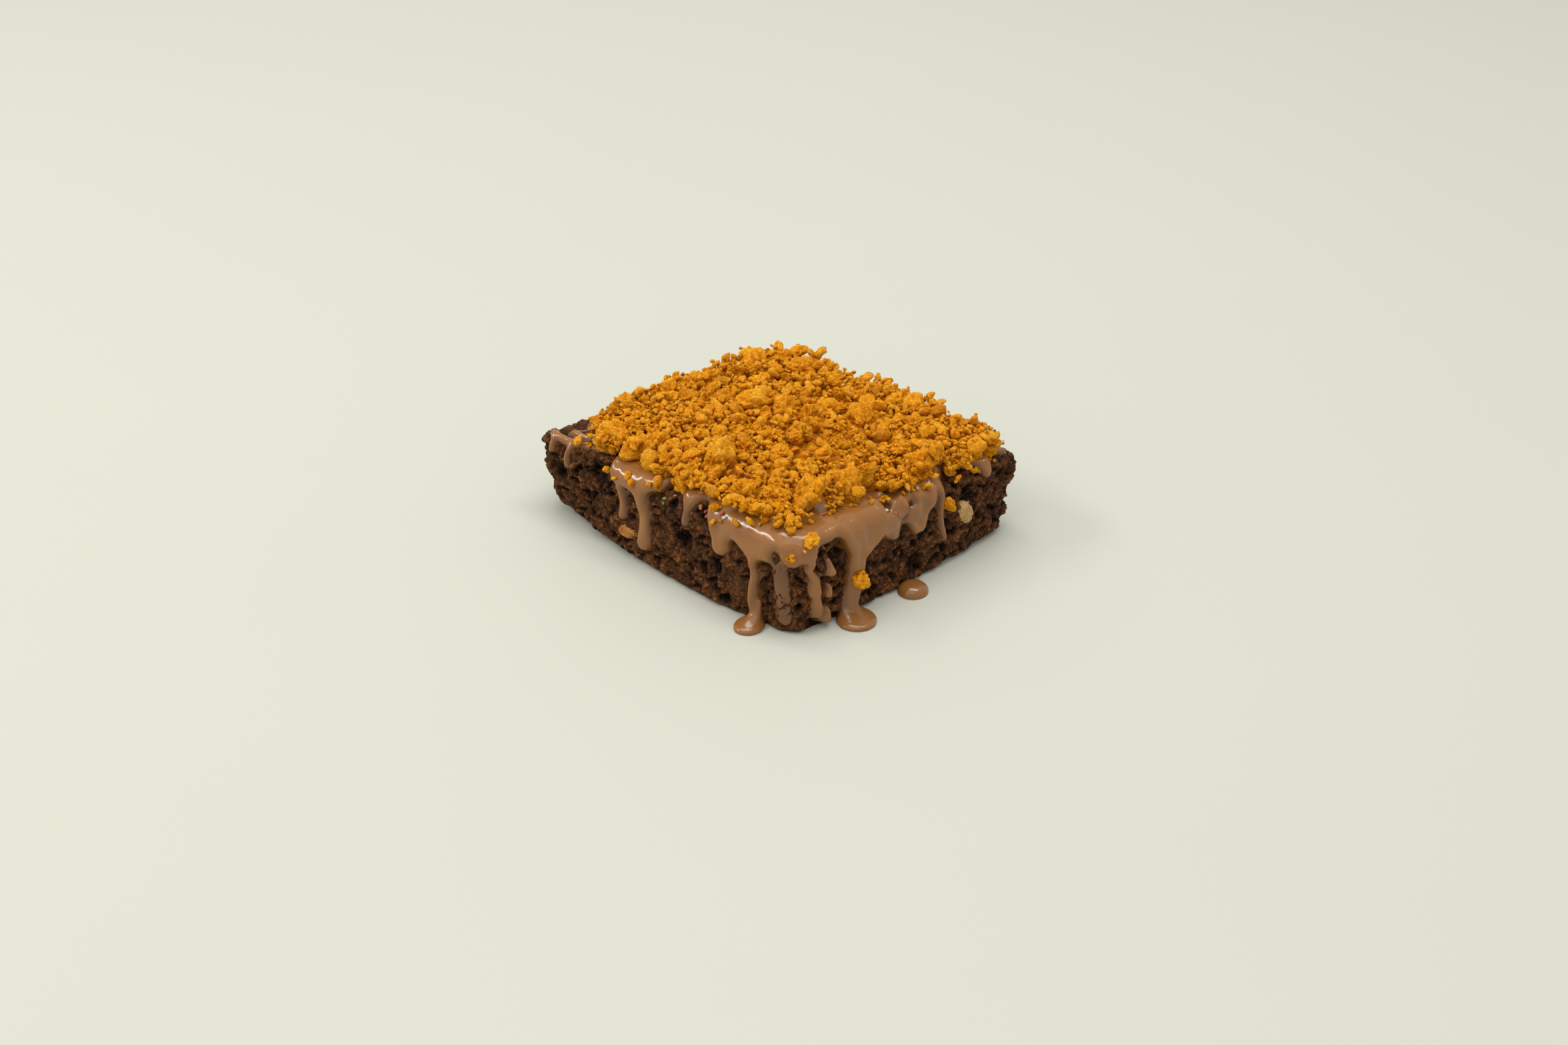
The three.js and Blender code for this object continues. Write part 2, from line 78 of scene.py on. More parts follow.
SQUARE = np.array([[-1, -1], [1, -1], [1, 1], [-1, 1]]) * SIDE / 2
TOP = SQUARE + [[-7.1, -0.1], [-2.0, 6.0], [3.3, 4.2], [3.7, -6.0]]
FOOT = SQUARE + [[-2.5, 2.5], [0.2, 4.6], [1.6, 1.2], [3.5, -7.5]]
CORNER_HEIGHT = HEIGHT + np.array([-1.4, 2.4, -0.6, 0.2])
CORNER_CURL = np.array([2.4, 0.0, 0.0, 0.0])
BOW = np.array([4.0, 2.2, 1.0, 1.6])


def unit(v):
    return v / np.linalg.norm(v, axis=-1, keepdims=True)


def smoothstep(x, low, high):
    t = np.clip((x - low) / (high - low), 0, 1)
    return t * t * (3 - 2 * t)


def outline(turn, level):
    """Points of the outline at a level, 0 at the foot and 1 at the top, with its rounded corners."""
    turn, level = np.broadcast_arrays(np.asarray(turn, float), np.asarray(level, float))

    def corner(i):
        return FOOT[i % TURNS] + (TOP[i % TURNS] - FOOT[i % TURNS]) * level[..., None]

    near = np.round(turn).astype(int)
    before = corner(near) - corner(near - 1)
    after = corner(near + 1) - corner(near)
    s = np.clip((turn - near) / CORNER_SHARE, -1, 1)[..., None]
    rounded = corner(near) + CORNER_SHARE / 4 * (after * (1 + s) ** 2 - before * (1 - s) ** 2)
    i = np.floor(turn).astype(int)
    straight = corner(i) + (corner(i + 1) - corner(i)) * (turn - i)[..., None]
    bent = (np.abs(turn - near) < CORNER_SHARE)[..., None]
    along = unit(np.where(bent, before * (1 - s) + after * (1 + s), corner(i + 1) - corner(i)))
    outward = np.stack([along[..., 1], -along[..., 0]], -1)
    share = turn - i
    bow = 4 * BOW[i % TURNS] * (1 - level) * share * (1 - share)
    return np.where(bent, rounded, straight) + outward * bow[..., None], along, outward


def mix_corners(plan, values):
    """A value known at the four corners, mixed for places in plan, and how near the middle they are."""
    u, v = np.clip(plan[..., 0] / SIDE + 0.5, 0, 1), np.clip(plan[..., 1] / SIDE + 0.5, 0, 1)
    front = values[0] * (1 - u) + values[1] * u
    back = values[3] * (1 - u) + values[2] * u
    return front * (1 - v) + back * v, 16 * u * (1 - u) * v * (1 - v)


def top_height(plan):
    height, middle = mix_corners(plan, CORNER_HEIGHT)
    return height + CROWN * middle


def foot_height(plan):
    curl, _ = mix_corners(plan, CORNER_CURL)
    return CORNER_CURL[0] * (curl / CORNER_CURL[0]) ** 3


def rim_start(turn):
    rim, _, outward = outline(turn, 1.0)
    return rim - outward * RIM_RADIUS


def run_down_to(turn, z):
    """The run that ends at a height above the table."""
    return RIM_ARC + top_height(rim_start(turn)) - RIM_RADIUS - z


def lifted(plan, z):
    return np.concatenate([plan, np.broadcast_to(z, plan.shape[:-1])[..., None]], -1)


def skin(turn, run, lift=0.0):
    """Points of the skin, lifted off it, with its normals and the directions along the rim."""
    turn, run, lift = np.broadcast_arrays(turn, run, lift)
    rim, along, outward = outline(turn, 1.0)
    start = rim - outward * RIM_RADIUS
    height = top_height(start)
    z = height - RIM_RADIUS - np.maximum(run - RIM_ARC, 0)
    side, _, side_out = outline(turn, np.clip(z / (height - RIM_RADIUS), 0, 1))

    angle = np.clip(run, 0, RIM_ARC) / RIM_RADIUS
    out_share, up_share = np.sin(angle)[..., None], np.cos(angle)
    plan = start * (1 - np.clip(-run / TO_MIDDLE, 0, 1))[..., None]
    over_rim = lifted(start + outward * RIM_RADIUS * out_share, height - RIM_RADIUS * (1 - up_share))
    point = np.where((run <= 0)[..., None], lifted(plan, top_height(plan)), over_rim)
    point = np.where((run > RIM_ARC)[..., None], lifted(side, z), point)
    normal = lifted(np.where((run > RIM_ARC)[..., None], side_out, outward) * out_share, up_share)
    return point + normal * lift[..., None], normal, lifted(along, 0.0)


print("top edge about", round(float(np.linalg.norm(TOP[1] - TOP[0]))), "mm at the front")

# %% [markdown]
# ## Unevenness
#
# Nothing here is smooth or regular, and everything has to come out the same each time the script
# runs. Two random fields do that. The first is soft and rolling, and gives lumps. The second is made
# of cells, like packed grains: each point knows how far it is from the middle of its grain. A cake's
# open crumb and a biscuit's sandy break are both packings of grains, and only the sizes differ.

# %% Seeded random fields
SEED = 20417


def hashed(x, y, z, seed=SEED):
    """A number from 0 to 1 for each whole-number place."""
    x, y, z = (v.astype(np.int64).astype(np.uint32) for v in (x, y, z))
    h = x * np.uint32(374761393) ^ y * np.uint32(668265263) ^ z * np.uint32(1274126177)
    h = h ^ np.uint32(seed)
    h = (h ^ (h >> np.uint32(15))) * np.uint32(2246822519)
    h = (h ^ (h >> np.uint32(13))) * np.uint32(3266489917)
    return (h ^ (h >> np.uint32(16))) / 4294967295.0


def rolling(points, grain, seed=SEED):
    """A smooth field from -1 to 1 with lumps about a grain apart."""
    p = points / grain
    cell = np.floor(p)
    f = p - cell
    f = f * f * (3 - 2 * f)
    total = 0.0
    for dx in (0, 1):
        for dy in (0, 1):
            for dz in (0, 1):
                weight = (
                    (f[..., 0] if dx else 1 - f[..., 0])
                    * (f[..., 1] if dy else 1 - f[..., 1])
                    * (f[..., 2] if dz else 1 - f[..., 2])
                )
                total = total + weight * hashed(
                    cell[..., 0] + dx, cell[..., 1] + dy, cell[..., 2] + dz, seed
                )
    return 2 * total - 1


def grains(points, size, seed=SEED):
    """Distance to the middle of the nearest grain, about 0 to 1, and a number for each grain."""
    p = points / size
    cell = np.floor(p)
    nearest = np.full(p.shape[:-1], 9.0)
    which = np.zeros(p.shape[:-1])
    for offset in np.ndindex(3, 3, 3):
        c = cell + offset - 1
        x, y, z = c[..., 0], c[..., 1], c[..., 2]
        middle = c + np.stack([hashed(x, y, z, seed + k) for k in (1, 2, 3)], -1)
        away = ((p - middle) ** 2).sum(-1)
        closer = away < nearest
        nearest = np.where(closer, away, nearest)
        which = np.where(closer, hashed(x, y, z, seed + 4), which)
    return np.sqrt(nearest), which


def warped(points, grain, amount, seed):
    """The same places, each pushed about a little, so that what is drawn over them looks torn."""
    push = np.stack([rolling(points, grain, seed + k) for k in range(3)], -1)
    return points + amount * push


# %% [markdown]
# ## From arrays to objects
#
# Every piece is worked out as arrays of points in millimetres, in the cake's own frame, and written
# to a mesh in one go. That is quick enough for several hundred thousand faces, and it keeps each
# shape a plain formula. The nut in the cake's side ties the two frames together: its middle is known
# in the cake's frame, and the solid model says where it is in space.

# %% Writing meshes
NUT = {"turn": 1.745, "z": 11.0, "sunk": 1.3}
nut_low, nut_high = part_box("nut_chunk")
nut_middle, _, _ = skin(NUT["turn"], run_down_to(NUT["turn"], NUT["z"]), -NUT["sunk"])
TO_FRAME = np.array((nut_low + nut_high) / 2) / MM - nut_middle
TO_FRAME[2] = 0.0


def grid_faces(rows, columns, closed=False):
    """Quads over rows of points that each go all the way round. Closed joins the last row to the first."""
    r = np.arange(rows if closed else rows - 1)[:, None]
    c = np.arange(columns)[None, :]
    across, up = (c + 1) % columns, (r + 1) % rows
    corners = [r * columns + c, r * columns + across, up * columns + across, up * columns + c]
    return np.stack([np.broadcast_to(k, (len(r), columns)) for k in corners], -1).reshape(-1, 4)


def add_object(name, points, faces, marks=None):
    """A smooth-shaded mesh object. Marks are numbers for each point, which the materials read."""
    mesh = bpy.data.meshes.new(name)
    mesh.vertices.add(len(points))
    mesh.vertices.foreach_set("co", ((points + TO_FRAME) * MM).astype(np.float32).ravel())
    mesh.loops.add(faces.size)
    mesh.loops.foreach_set("vertex_index", faces.astype(np.int32).ravel())
    mesh.polygons.add(len(faces))
    mesh.polygons.foreach_set("loop_start", np.arange(0, faces.size, faces.shape[1], dtype=np.int32))
    mesh.update(calc_edges=True)
    mesh.polygons.foreach_set("use_smooth", np.ones(len(faces), bool))
    for mark, values in (marks or {}).items():
        attribute = mesh.attributes.new(mark, "FLOAT", "POINT")
        attribute.data.foreach_set("value", np.asarray(values, np.float32).ravel())
    obj = bpy.data.objects.new(name, mesh)
    bpy.context.scene.collection.objects.link(obj)
    return obj


def triangles(obj):
    return sum(len(p.vertices) - 2 for p in obj.data.polygons)


def place(obj, material, slot, *nodes):
    """Gives a piece its material, and has it stand for the solid model's nodes."""
    obj.data.materials.append(material)
    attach(obj, "root")
    if nodes:
        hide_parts(*nodes)
    print(f"{obj.name}: {triangles(obj)} triangles")


# %% [markdown]
# ## Materials
#
# The foods share three effects, each made once as a node group. One tints a surface by how far it
# stands out: on cake and biscuit it paints shade into crevices and light onto what stands proud,
# and on the sauce it follows the thickness. The meshes carry that depth as a mark on each point.
# One breaks a colour up into uneven patches. One gives a fine grain, too small to model, as a
# height for the bump; on cake and biscuit it also paints shade into the gaps between grains.

# %% Building node trees
def new_group(name, inputs, outputs):
    group = bpy.data.node_groups.new(name, "ShaderNodeTree")
    for in_out, sockets in (("INPUT", inputs), ("OUTPUT", outputs)):
        for label, kind in sockets.items():
            group.interface.new_socket(label, in_out=in_out, socket_type=f"NodeSocket{kind}")
    return group, group.nodes.new("NodeGroupInput").outputs, group.nodes.new("NodeGroupOutput").inputs


def node(tree, kind, inputs=None, **settings):
    """A node with its settings, and each input linked if it's given a socket, or else set."""
    new = tree.nodes.new(kind)
    for key, value in settings.items():
        setattr(new, key, value)
    for key, value in (inputs or {}).items():
        if isinstance(value, bpy.types.NodeSocket):
            tree.links.new(value, new.inputs[key])
        else:
            new.inputs[key].default_value = value
    return new


def use(tree, group, inputs):
    return node(tree, "ShaderNodeGroup", inputs, node_tree=group).outputs


def mix_colors(tree, factor, a, b):
    mixed = node(tree, "ShaderNodeMix", {"Factor": factor}, data_type="RGBA")
    for key, value in ((6, a), (7, b)):
        if isinstance(value, bpy.types.NodeSocket):
            tree.links.new(value, mixed.inputs[key])
        else:
            mixed.inputs[key].default_value = value
    return mixed.outputs[2]


def remap(tree, value, low, high, to_low=0.0, to_high=1.0):
    inputs = {"Value": value, "From Min": low, "From Max": high, "To Min": to_low, "To Max": to_high}
    return node(tree, "ShaderNodeMapRange", inputs).outputs["Result"]


def compute(tree, operation, a, b, c=0.0):
    return node(tree, "ShaderNodeMath", {0: a, 1: b, 2: c}, operation=operation).outputs[0]


def compute_vector(tree, operation, a, b):
    return node(tree, "ShaderNodeVectorMath", {0: a, 1: b}, operation=operation).outputs[0]


def mark(tree, name):
    return node(tree, "ShaderNodeAttribute", attribute_name=name).outputs["Fac"]


def place_in_space(tree):
    return node(tree, "ShaderNodeTexCoord").outputs["Object"]


# %% Effects that several foods share
def depth_shade_tint_group():
    """Deep, middle and Raised colours by a depth, 0 to 1: painted shade and light on cake and biscuit."""
    kinds = {"Depth": "Float", "Deep": "Color", "Middle": "Color", "Raised": "Color"}
    group, given, out = new_group("depth_shade_tint", kinds, {"Color": "Color"})
    low = mix_colors(group, remap(group, given["Depth"], 0.0, 0.5), given["Deep"], given["Middle"])
    high = mix_colors(group, remap(group, given["Depth"], 0.5, 1.0), low, given["Raised"])
    group.links.new(high, out["Color"])
    return group


def mottle_group():
    """A colour broken up by soft patches of another."""
    kinds = {"Color": "Color", "Patch": "Color", "Size": "Float", "Amount": "Float"}
    group, given, out = new_group("mottle", kinds, {"Color": "Color"})
    scale = compute(group, "DIVIDE", 1.0, given["Size"])
    inputs = {"Vector": place_in_space(group), "Scale": scale, "Detail": 3.0, "Roughness": 0.6}
    noise = node(group, "ShaderNodeTexNoise", inputs).outputs["Fac"]
    amount = compute(group, "MULTIPLY", remap(group, noise, 0.38, 0.66), given["Amount"])
    group.links.new(mix_colors(group, amount, given["Color"], given["Patch"]), out["Color"])
    return group


def packed_grains(tree, where, scale):
    """Round grains, 1 on top and 0 in the gaps between them."""
    away = node(tree, "ShaderNodeTexVoronoi", {"Vector": where, "Scale": scale}).outputs["Distance"]
    return remap(tree, compute(tree, "MULTIPLY", away, away), 0.0, 0.36, 1.0, 0.0)


def fine_grain_group():
    """A height from grains of a size and of half that size in patches, with rubble finer still."""
    kinds = {"Size": "Float", "Rubble": "Float"}
    group, given, out = new_group("fine_grain", kinds, {"Height": "Float"})
    scale = compute(group, "DIVIDE", 1.0, given["Size"])
    where = place_in_space(group)
    inputs = {"Vector": where, "Scale": compute(group, "MULTIPLY", scale, 0.4), "Detail": 1.0}
    noise = node(group, "ShaderNodeTexNoise", inputs)
    push = compute_vector(group, "SUBTRACT", noise.outputs["Color"], (0.5, 0.5, 0.5))
    inputs = {0: push, "Scale": compute(group, "MULTIPLY", given["Size"], 1.3)}
    push = node(group, "ShaderNodeVectorMath", inputs, operation="SCALE").outputs[0]
    moved = compute_vector(group, "ADD", where, push)
    large = packed_grains(group, moved, scale)
    small = packed_grains(group, moved, compute(group, "MULTIPLY", scale, 1.9))
    patch = remap(group, noise.outputs["Fac"], 0.42, 0.58)
    height = node(group, "ShaderNodeMix", {"Factor": patch, "A": large, "B": small}).outputs["Result"]
    rubble_scale = compute(group, "MULTIPLY", scale, 2.3)
    inputs = {"Vector": where, "Scale": rubble_scale, "Detail": 4.0, "Roughness": 0.7}
    rubble = node(group, "ShaderNodeTexNoise", inputs).outputs["Fac"]
    group.links.new(compute(group, "MULTIPLY_ADD", rubble, given["Rubble"], height), out["Height"])
    return group


DEPTH_SHADE_TINT = depth_shade_tint_group()
MOTTLE = mottle_group()
FINE_GRAIN = fine_grain_group()


def new_material(name, roughness, **settings):
    """A material with one Principled shader, and constants set on the shader's own sockets."""
    material = bpy.data.materials.new(name)
    material.use_nodes = True
    shader = material.node_tree.nodes["Principled BSDF"]
    shader.inputs["Roughness"].default_value = roughness
    for key, value in settings.items():
        shader.inputs[key.replace("_", " ")].default_value = value
    return material, material.node_tree, shader.inputs


def add_bump(tree, target, height, distance):
    inputs = {"Height": height, "Distance": distance * MM, "Strength": 1.0}
    tree.links.new(node(tree, "ShaderNodeBump", inputs).outputs["Normal"], target["Normal"])


# %% [markdown]
# ## Food colours
#
# The cake is a very dark, warm brown. Its pores are nearly black, which is painted shade, and a
# crumb that stands out is lighter and reddish, which is painted light with some random tone. The
# sauce is milk chocolate: opaque where it is thick, and darker where a thin smear lets the cake show
# through; near the table it is also darker, which is painted shade. The biscuit is a saturated
# golden orange, paler on its sandy grains and deeper between them, which is painted light and
# shade with some random tone.

# %% The materials of the foods
# Deep is painted shade in pores and cracks; Raised is painted light on crumbs that stand out.
CAKE_COLORS_AND_SHADE = {
    "Deep": (0.003, 0.0014, 0.0008, 1),
    "Middle": (0.145, 0.0535, 0.0152, 1),
    "Raised": (0.52, 0.192, 0.053, 1),
}
SAUCE_COLORS = {
    "Deep": (0.14, 0.057, 0.016, 1),
    "Middle": (0.222, 0.09, 0.022, 1),
    "Raised": (0.3, 0.123, 0.028, 1),
}
# Deep is painted shade in crevices and between grains; Raised is painted light on grain tops.
BISCUIT_COLORS_AND_SHADE = {
    "Deep": (0.26, 0.042, 0.001, 1),
    "Middle": (0.96, 0.4, 0.0125, 1),
    "Raised": (0.82, 0.43, 0.06, 1),
}


def tinted(tree, depth, colors):
    return use(tree, DEPTH_SHADE_TINT, {"Depth": depth, **colors})["Color"]


def mottled(tree, color, patch, size, amount=0.5):
    """A colour with patches of another in it, of a size in millimetres."""
    inputs = {"Color": color, "Patch": patch, "Size": size * MM, "Amount": amount}
    return use(tree, MOTTLE, inputs)["Color"]


def fine_grain(tree, size, rubble):
    """The height of fine grains of a size in millimetres."""
    return use(tree, FINE_GRAIN, {"Size": size * MM, "Rubble": rubble})["Height"]


def cake_material():
    material, tree, shader = new_material("cake", 0.7, Specular_IOR_Level=0.13)
    grain = fine_grain(tree, 0.55, 0.8)
    # The grain darkens the colour in its gaps and lightens its tops: painted shade and light.
    depth = compute(tree, "ADD", mark(tree, "depth"), remap(tree, grain, 0.2, 1.6, -0.3, 0.36))
    color = mottled(tree, tinted(tree, depth, CAKE_COLORS_AND_SHADE), (0.036, 0.013, 0.005, 1), 5)
    tree.links.new(color, shader["Base Color"])
    tree.links.new(remap(tree, grain, 0.2, 1.4, 0.8, 0.45), shader["Roughness"])
    add_bump(tree, shader, grain, 0.5)
    return material


def sauce_material():
    material, tree, shader = new_material(
        "milk_chocolate", 0.18, Specular_IOR_Level=0.4, Coat_Weight=0.22, Subsurface_Weight=0.1
    )
    shader["Subsurface Radius"].default_value = (1.0, 0.45, 0.2)
    shader["Subsurface Scale"].default_value = 1.2 * MM
    grain = fine_grain(tree, 2.4, 0.7)
    tint = tinted(tree, mark(tree, "depth"), SAUCE_COLORS)
    tree.links.new(mottled(tree, tint, (0.26, 0.105, 0.027, 1), 9), shader["Base Color"])
    tree.links.new(remap(tree, grain, 0.2, 1.4, 0.13, 0.24), shader["Roughness"])
    add_bump(tree, shader, grain, 0.02)
    return material


def biscuit_material():
    material, tree, shader = new_material(
        "biscuit", 0.75, Specular_IOR_Level=0.05, Subsurface_Weight=0.25
    )
    shader["Subsurface Radius"].default_value = (1.0, 0.45, 0.12)
    shader["Subsurface Scale"].default_value = 0.8 * MM
    grain = fine_grain(tree, 0.5, 0.35)
    # The grain darkens the colour in its gaps and lightens its tops: painted shade and light.
    depth = compute(tree, "ADD", mark(tree, "depth"), remap(tree, grain, 0.1, 1.1, -0.3, 0.12))
    tint = tinted(tree, depth, BISCUIT_COLORS_AND_SHADE)
    # Loose crumbs get a random browning here; the bed gets a fixed share of the same darker colour as
    # painted shade.
    browned_and_shade = mix_colors(tree, mark(tree, "browned_and_shade"), tint, (0.42, 0.12, 0.006, 1))
    tree.links.new(mottled(tree, browned_and_shade, (0.84, 0.3, 0.008, 1), 4), shader["Base Color"])
    tree.links.new(remap(tree, grain, 0.2, 1.2, 0.9, 0.55), shader["Roughness"])
    add_bump(tree, shader, grain, 0.38)
    return material


CAKE = cake_material()
SAUCE = sauce_material()
BISCUIT = biscuit_material()

# %% [markdown]
# ## The cake
#
# A knife tears a dense cake as it cuts: the side is a wall of packed crumbs with pores between them,
# and here and there a crumb has come out whole and left a pit. The big crags are the same ones that
# the solid model has. Over them lie crumbs of two sizes, and pores. All of it moves real points,
# because the torn edge shows against the table and against the sauce, where a bump would stay flat.

# %% Crags, crumbs and pores
CRAGS = [{"grain": 6.0, "depth": 0.85}, {"grain": 2.9, "depth": 0.6}]
PITS = np.array([
    # turn, height, radius, depth
    (0.10, 12.5, 3.2, 1.6), (0.60, 11.5, 3.0, 2.0), (0.27, 16.5, 3.0, 1.4), (1.14, 17.0, 3.0, 1.6),
    (1.51, 4.8, 3.2, 1.6), (1.74, 16.0, 3.4, 1.5), (2.35, 12.0, 3.2, 1.6), (2.80, 6.5, 3.0, 1.4),
    (3.30, 9.0, 3.2, 1.6), (3.65, 14.0, 3.0, 1.4),
])
PIT_MIDDLES, _, _ = skin(PITS[:, 0], run_down_to(PITS[:, 0], PITS[:, 1]))


def crag(points):
    """The crags, and how far into a pit each point is."""
    rough = sum(c["depth"] * rolling(points, c["grain"]) for c in CRAGS)
    pitted = np.zeros(rough.shape)
    for middle, (_, _, radius, depth) in zip(PIT_MIDDLES, PITS):
        away = np.linalg.norm(points - middle, axis=-1) / radius
        pitted += depth * np.maximum(0, 1 - away**2)
    return rough - pitted, pitted


def crag_share(run):
    """The top stays nearly flat, and the crags grow over the rim to their full depth on the side."""
    return 0.15 + 0.45 * smoothstep(run, 0, RIM_ARC / 2) + 0.4 * smoothstep(run, RIM_ARC / 2, RIM_ARC)


def torn_crumb(points):
    """Relief of the torn crumb in millimetres, and a colour mark from 0 to 1: painted shade in
    pores and cracks, painted light on crumbs that stand out, and random tone.
    """
    coarse, _ = grains(warped(points * [1, 1, 1.2], 2.4, 0.9, 51), 2.3, 61)
    fine, tone = grains(warped(points, 1.3, 0.5, 65), 0.95, 71)
    pore, chance = grains(warped(points * [1, 1, 1.4], 2.6, 1.3, 81), 3.4, 91)
    hole = np.maximum(0, 1 - (pore / (0.24 + 0.3 * chance)) ** 2) * (chance > 0.25)
    crack = smoothstep(coarse, 0.62, 0.95)
    rubble = rolling(points, 0.75, 101)
    relief = 0.45 - 0.35 * coarse**1.5 - 0.5 * crack - 0.7 * fine**1.4 - 1.8 * hole + 0.3 * rubble
    # Painted light and shade: what stands out is lighter, and cracks, gaps and holes are darker; the tone
    # term is random.
    shade_and_tone = 0.86 - 0.2 * coarse - 0.3 * crack - 0.46 * fine + 0.4 * (tone - 0.5) - 0.8 * hole
    return relief, np.clip(shade_and_tone + 0.12 * rubble, 0, 1)


# %% Laying the skin of points over the cake
CAKE_COLUMNS = 900
SIDE_ROWS = 62


def cake_rows(turn):
    """Runs from the middle of the top to the start of the foot's round."""
    low = run_down_to(turn, foot_height(outline(turn, 0.0)[0]) + FOOT_RADIUS)
    top = [np.full_like(turn, v) for v in (-26.0, -18.0, *np.linspace(-13, -0.5, 11))]
    rim = [np.full_like(turn, v) for v in np.linspace(0, RIM_ARC, 13, endpoint=False)]
    side = [RIM_ARC + (low - RIM_ARC) * s for s in np.linspace(0, 1, SIDE_ROWS)]
    return np.array(top + rim + side)


def foot_rows(turn, last_row):
    """The round under the foot, and the flat underside in to the middle."""
    plan, _, outward = outline(turn, 0.0)
    base = foot_height(plan)
    rows = []
    for s in np.linspace(0, 1, 6)[1:]:
        inset = FOOT_RADIUS * (1 - np.cos(s * np.pi / 2))
        drop = FOOT_RADIUS * np.sin(s * np.pi / 2)
        flat = lifted(plan - outward * inset, base + FOOT_RADIUS - drop)
        rows.append(flat + (1 - s) * (last_row - lifted(plan, base + FOOT_RADIUS)))
    for inset in (4.0, 9.0, 16.0):
        ground = base * (1 - smoothstep(inset, 1.6, 16.0))
        rows.append(lifted(plan - outward * inset, ground))
    rows.append(np.repeat(lifted(plan.mean(0)[None], 0.0), len(turn), 0))
    return rows


turns = np.arange(CAKE_COLUMNS) * TURNS / CAKE_COLUMNS
runs = cake_rows(turns)
flat_points, normals, _ = skin(turns[None, :], runs)
share = crag_share(runs)
crags, pitted = crag(flat_points)
relief, depth = torn_crumb(flat_points)
relief = crags * share + relief * smoothstep(runs, -12, -9)
# Pits are painted darker too: painted shade.
depth = np.clip(depth - 0.3 * pitted, 0, 1)
cake_points = flat_points + normals * relief[..., None]
cake_points[..., 2] = np.maximum(cake_points[..., 2], 0.0)
under = np.array(foot_rows(turns, cake_points[-1]))
_, under_depth = torn_crumb(under)
all_rows = np.concatenate([cake_points, under])
cake = add_object(
    "cake",
    all_rows.reshape(-1, 3),
    grid_faces(len(all_rows), CAKE_COLUMNS)[:, ::-1],
    {"depth": np.concatenate([depth, under_depth]).ravel()},
)
place(cake, CAKE, "brownie", "brownie_slab")

# %% [markdown]
# ## The sauce
#
# Poured sauce is a sheet with a rounded edge, and drips leave it where it is thickest. What makes it
# look liquid is the web of sauce in each corner between a drip and the sheet. So the sauce is drawn
# first as a map of distances on the unrolled skin: how far each place is inside the sheet, or inside
# a drip. Two such maps melt into one another where they meet, which makes the webs. The thickness
# then follows from the distance to the edge, as a drop's does.

# %% Where the sauce has run to
SAUCE_DEPTH = 1.4
SHEET_REACH = np.array([
    # turn, run of the sheet's edge
    (0, -14), (0.1, -11), (0.2, -4), (0.28, -3), (0.33, 4),
    (0.38, 5.5), (0.45, 4.5), (0.5, 3), (0.54, -1), (0.6, 3), (0.66, 1), (0.72, 7), (0.76, 6),
    (0.82, 8), (0.88, 7), (0.92, 7.5), (0.98, 7.5), (1.03, 6), (1.08, 4), (1.13, 3.5), (1.18, 3),
    (1.22, 6), (1.29, 10), (1.36, 8.5), (1.42, 7), (1.46, 6.6), (1.5, 9), (1.57, 6), (1.6, 1),
    (1.66, -0.5), (1.72, -3), (1.78, -1), (1.83, 1.5), (1.88, -1), (1.93, 0.5), (1.98, 0.5), (2.1, -3),
    (2.3, 3), (2.42, -2), (2.6, 4), (2.8, -2), (3.0, 1), (3.2, 4), (3.4, -2), (3.6, 4), (3.85, -2),
])
DRIP_COLUMNS = ("turn", "tip", "rim", "neck", "bead", "depth", "drift")
DRIPS = [dict(zip(DRIP_COLUMNS, row)) for row in (
    # tip: its height over the table; rim, neck and bead: half widths on the way down
    (0.35, 8.6, 2.2, 1.0, 1.2, 1.0, 0.0),
    (0.43, 3.8, 3.0, 1.6, 1.9, 1.3, 0.01),
    (0.61, 15.0, 1.8, 0.9, 1.2, 1.0, 0.0),
    (0.74, 12.4, 4.0, 3.0, 2.4, 1.4, 0.0),
    (0.85, 0.0, 4.6, 1.0, 1.2, 1.5, 0.02),
    (0.945, 2.0, 2.4, 2.0, 2.3, 0.12, 0.01),
    (1.045, 2.6, 2.3, 1.4, 1.8, 1.2, 0.03),
    (1.265, 0.0, 6.0, 2.6, 2.2, 1.7, -0.05),
    (1.41, 13.5, 3.2, 2.4, 2.2, 0.8, 0.0),
    (1.52, 11.6, 4.0, 3.0, 2.6, 0.9, 0.0),
    (1.605, 7.0, 1.4, 0.8, 1.0, 1.0, 0.03),
    (1.82, 18.2, 1.9, 1.3, 1.3, 0.9, 0.0),
    (2.3, 8.5, 2.8, 1.4, 1.8, 1.3, 0.01),
    (2.62, 3.0, 3.2, 1.5, 2.1, 1.4, -0.02),
    (3.3, 6.0, 3.0, 1.4, 1.9, 1.3, 0.02),
)]
LOOSE_DROPS = [
    # short drops on the side, apart from the sheet: turn, height, half width, half length
    (1.125, 15.3, 1.4, 2.6), (1.125, 9.2, 1.2, 2.2), (1.12, 3.2, 1.3, 2.6),
]
WINDOWS = [
    # places inside the sheet where the cake shows: turn, run, radius
    (0.935, 6.2, 1.0), (1.392, 1.2, 1.1), (1.482, 3.4, 1.2), (1.115, 6.0, 1.6), (1.09, 9.0, 1.3),
    (1.447, 6.0, 0.9),
]
THIN = np.array([
    # turn, share of the full thickness
    (0, 0.5), (0.24, 0.6), (0.32, 1), (0.9, 1), (0.945, 0.75), (1.1, 0.8), (1.18, 1), (1.34, 1), (1.4, 0.5),
    (1.54, 0.5), (1.6, 1), (3.84, 1), (3.93, 0.5),
])
STREAK_DEPTH = 1.1
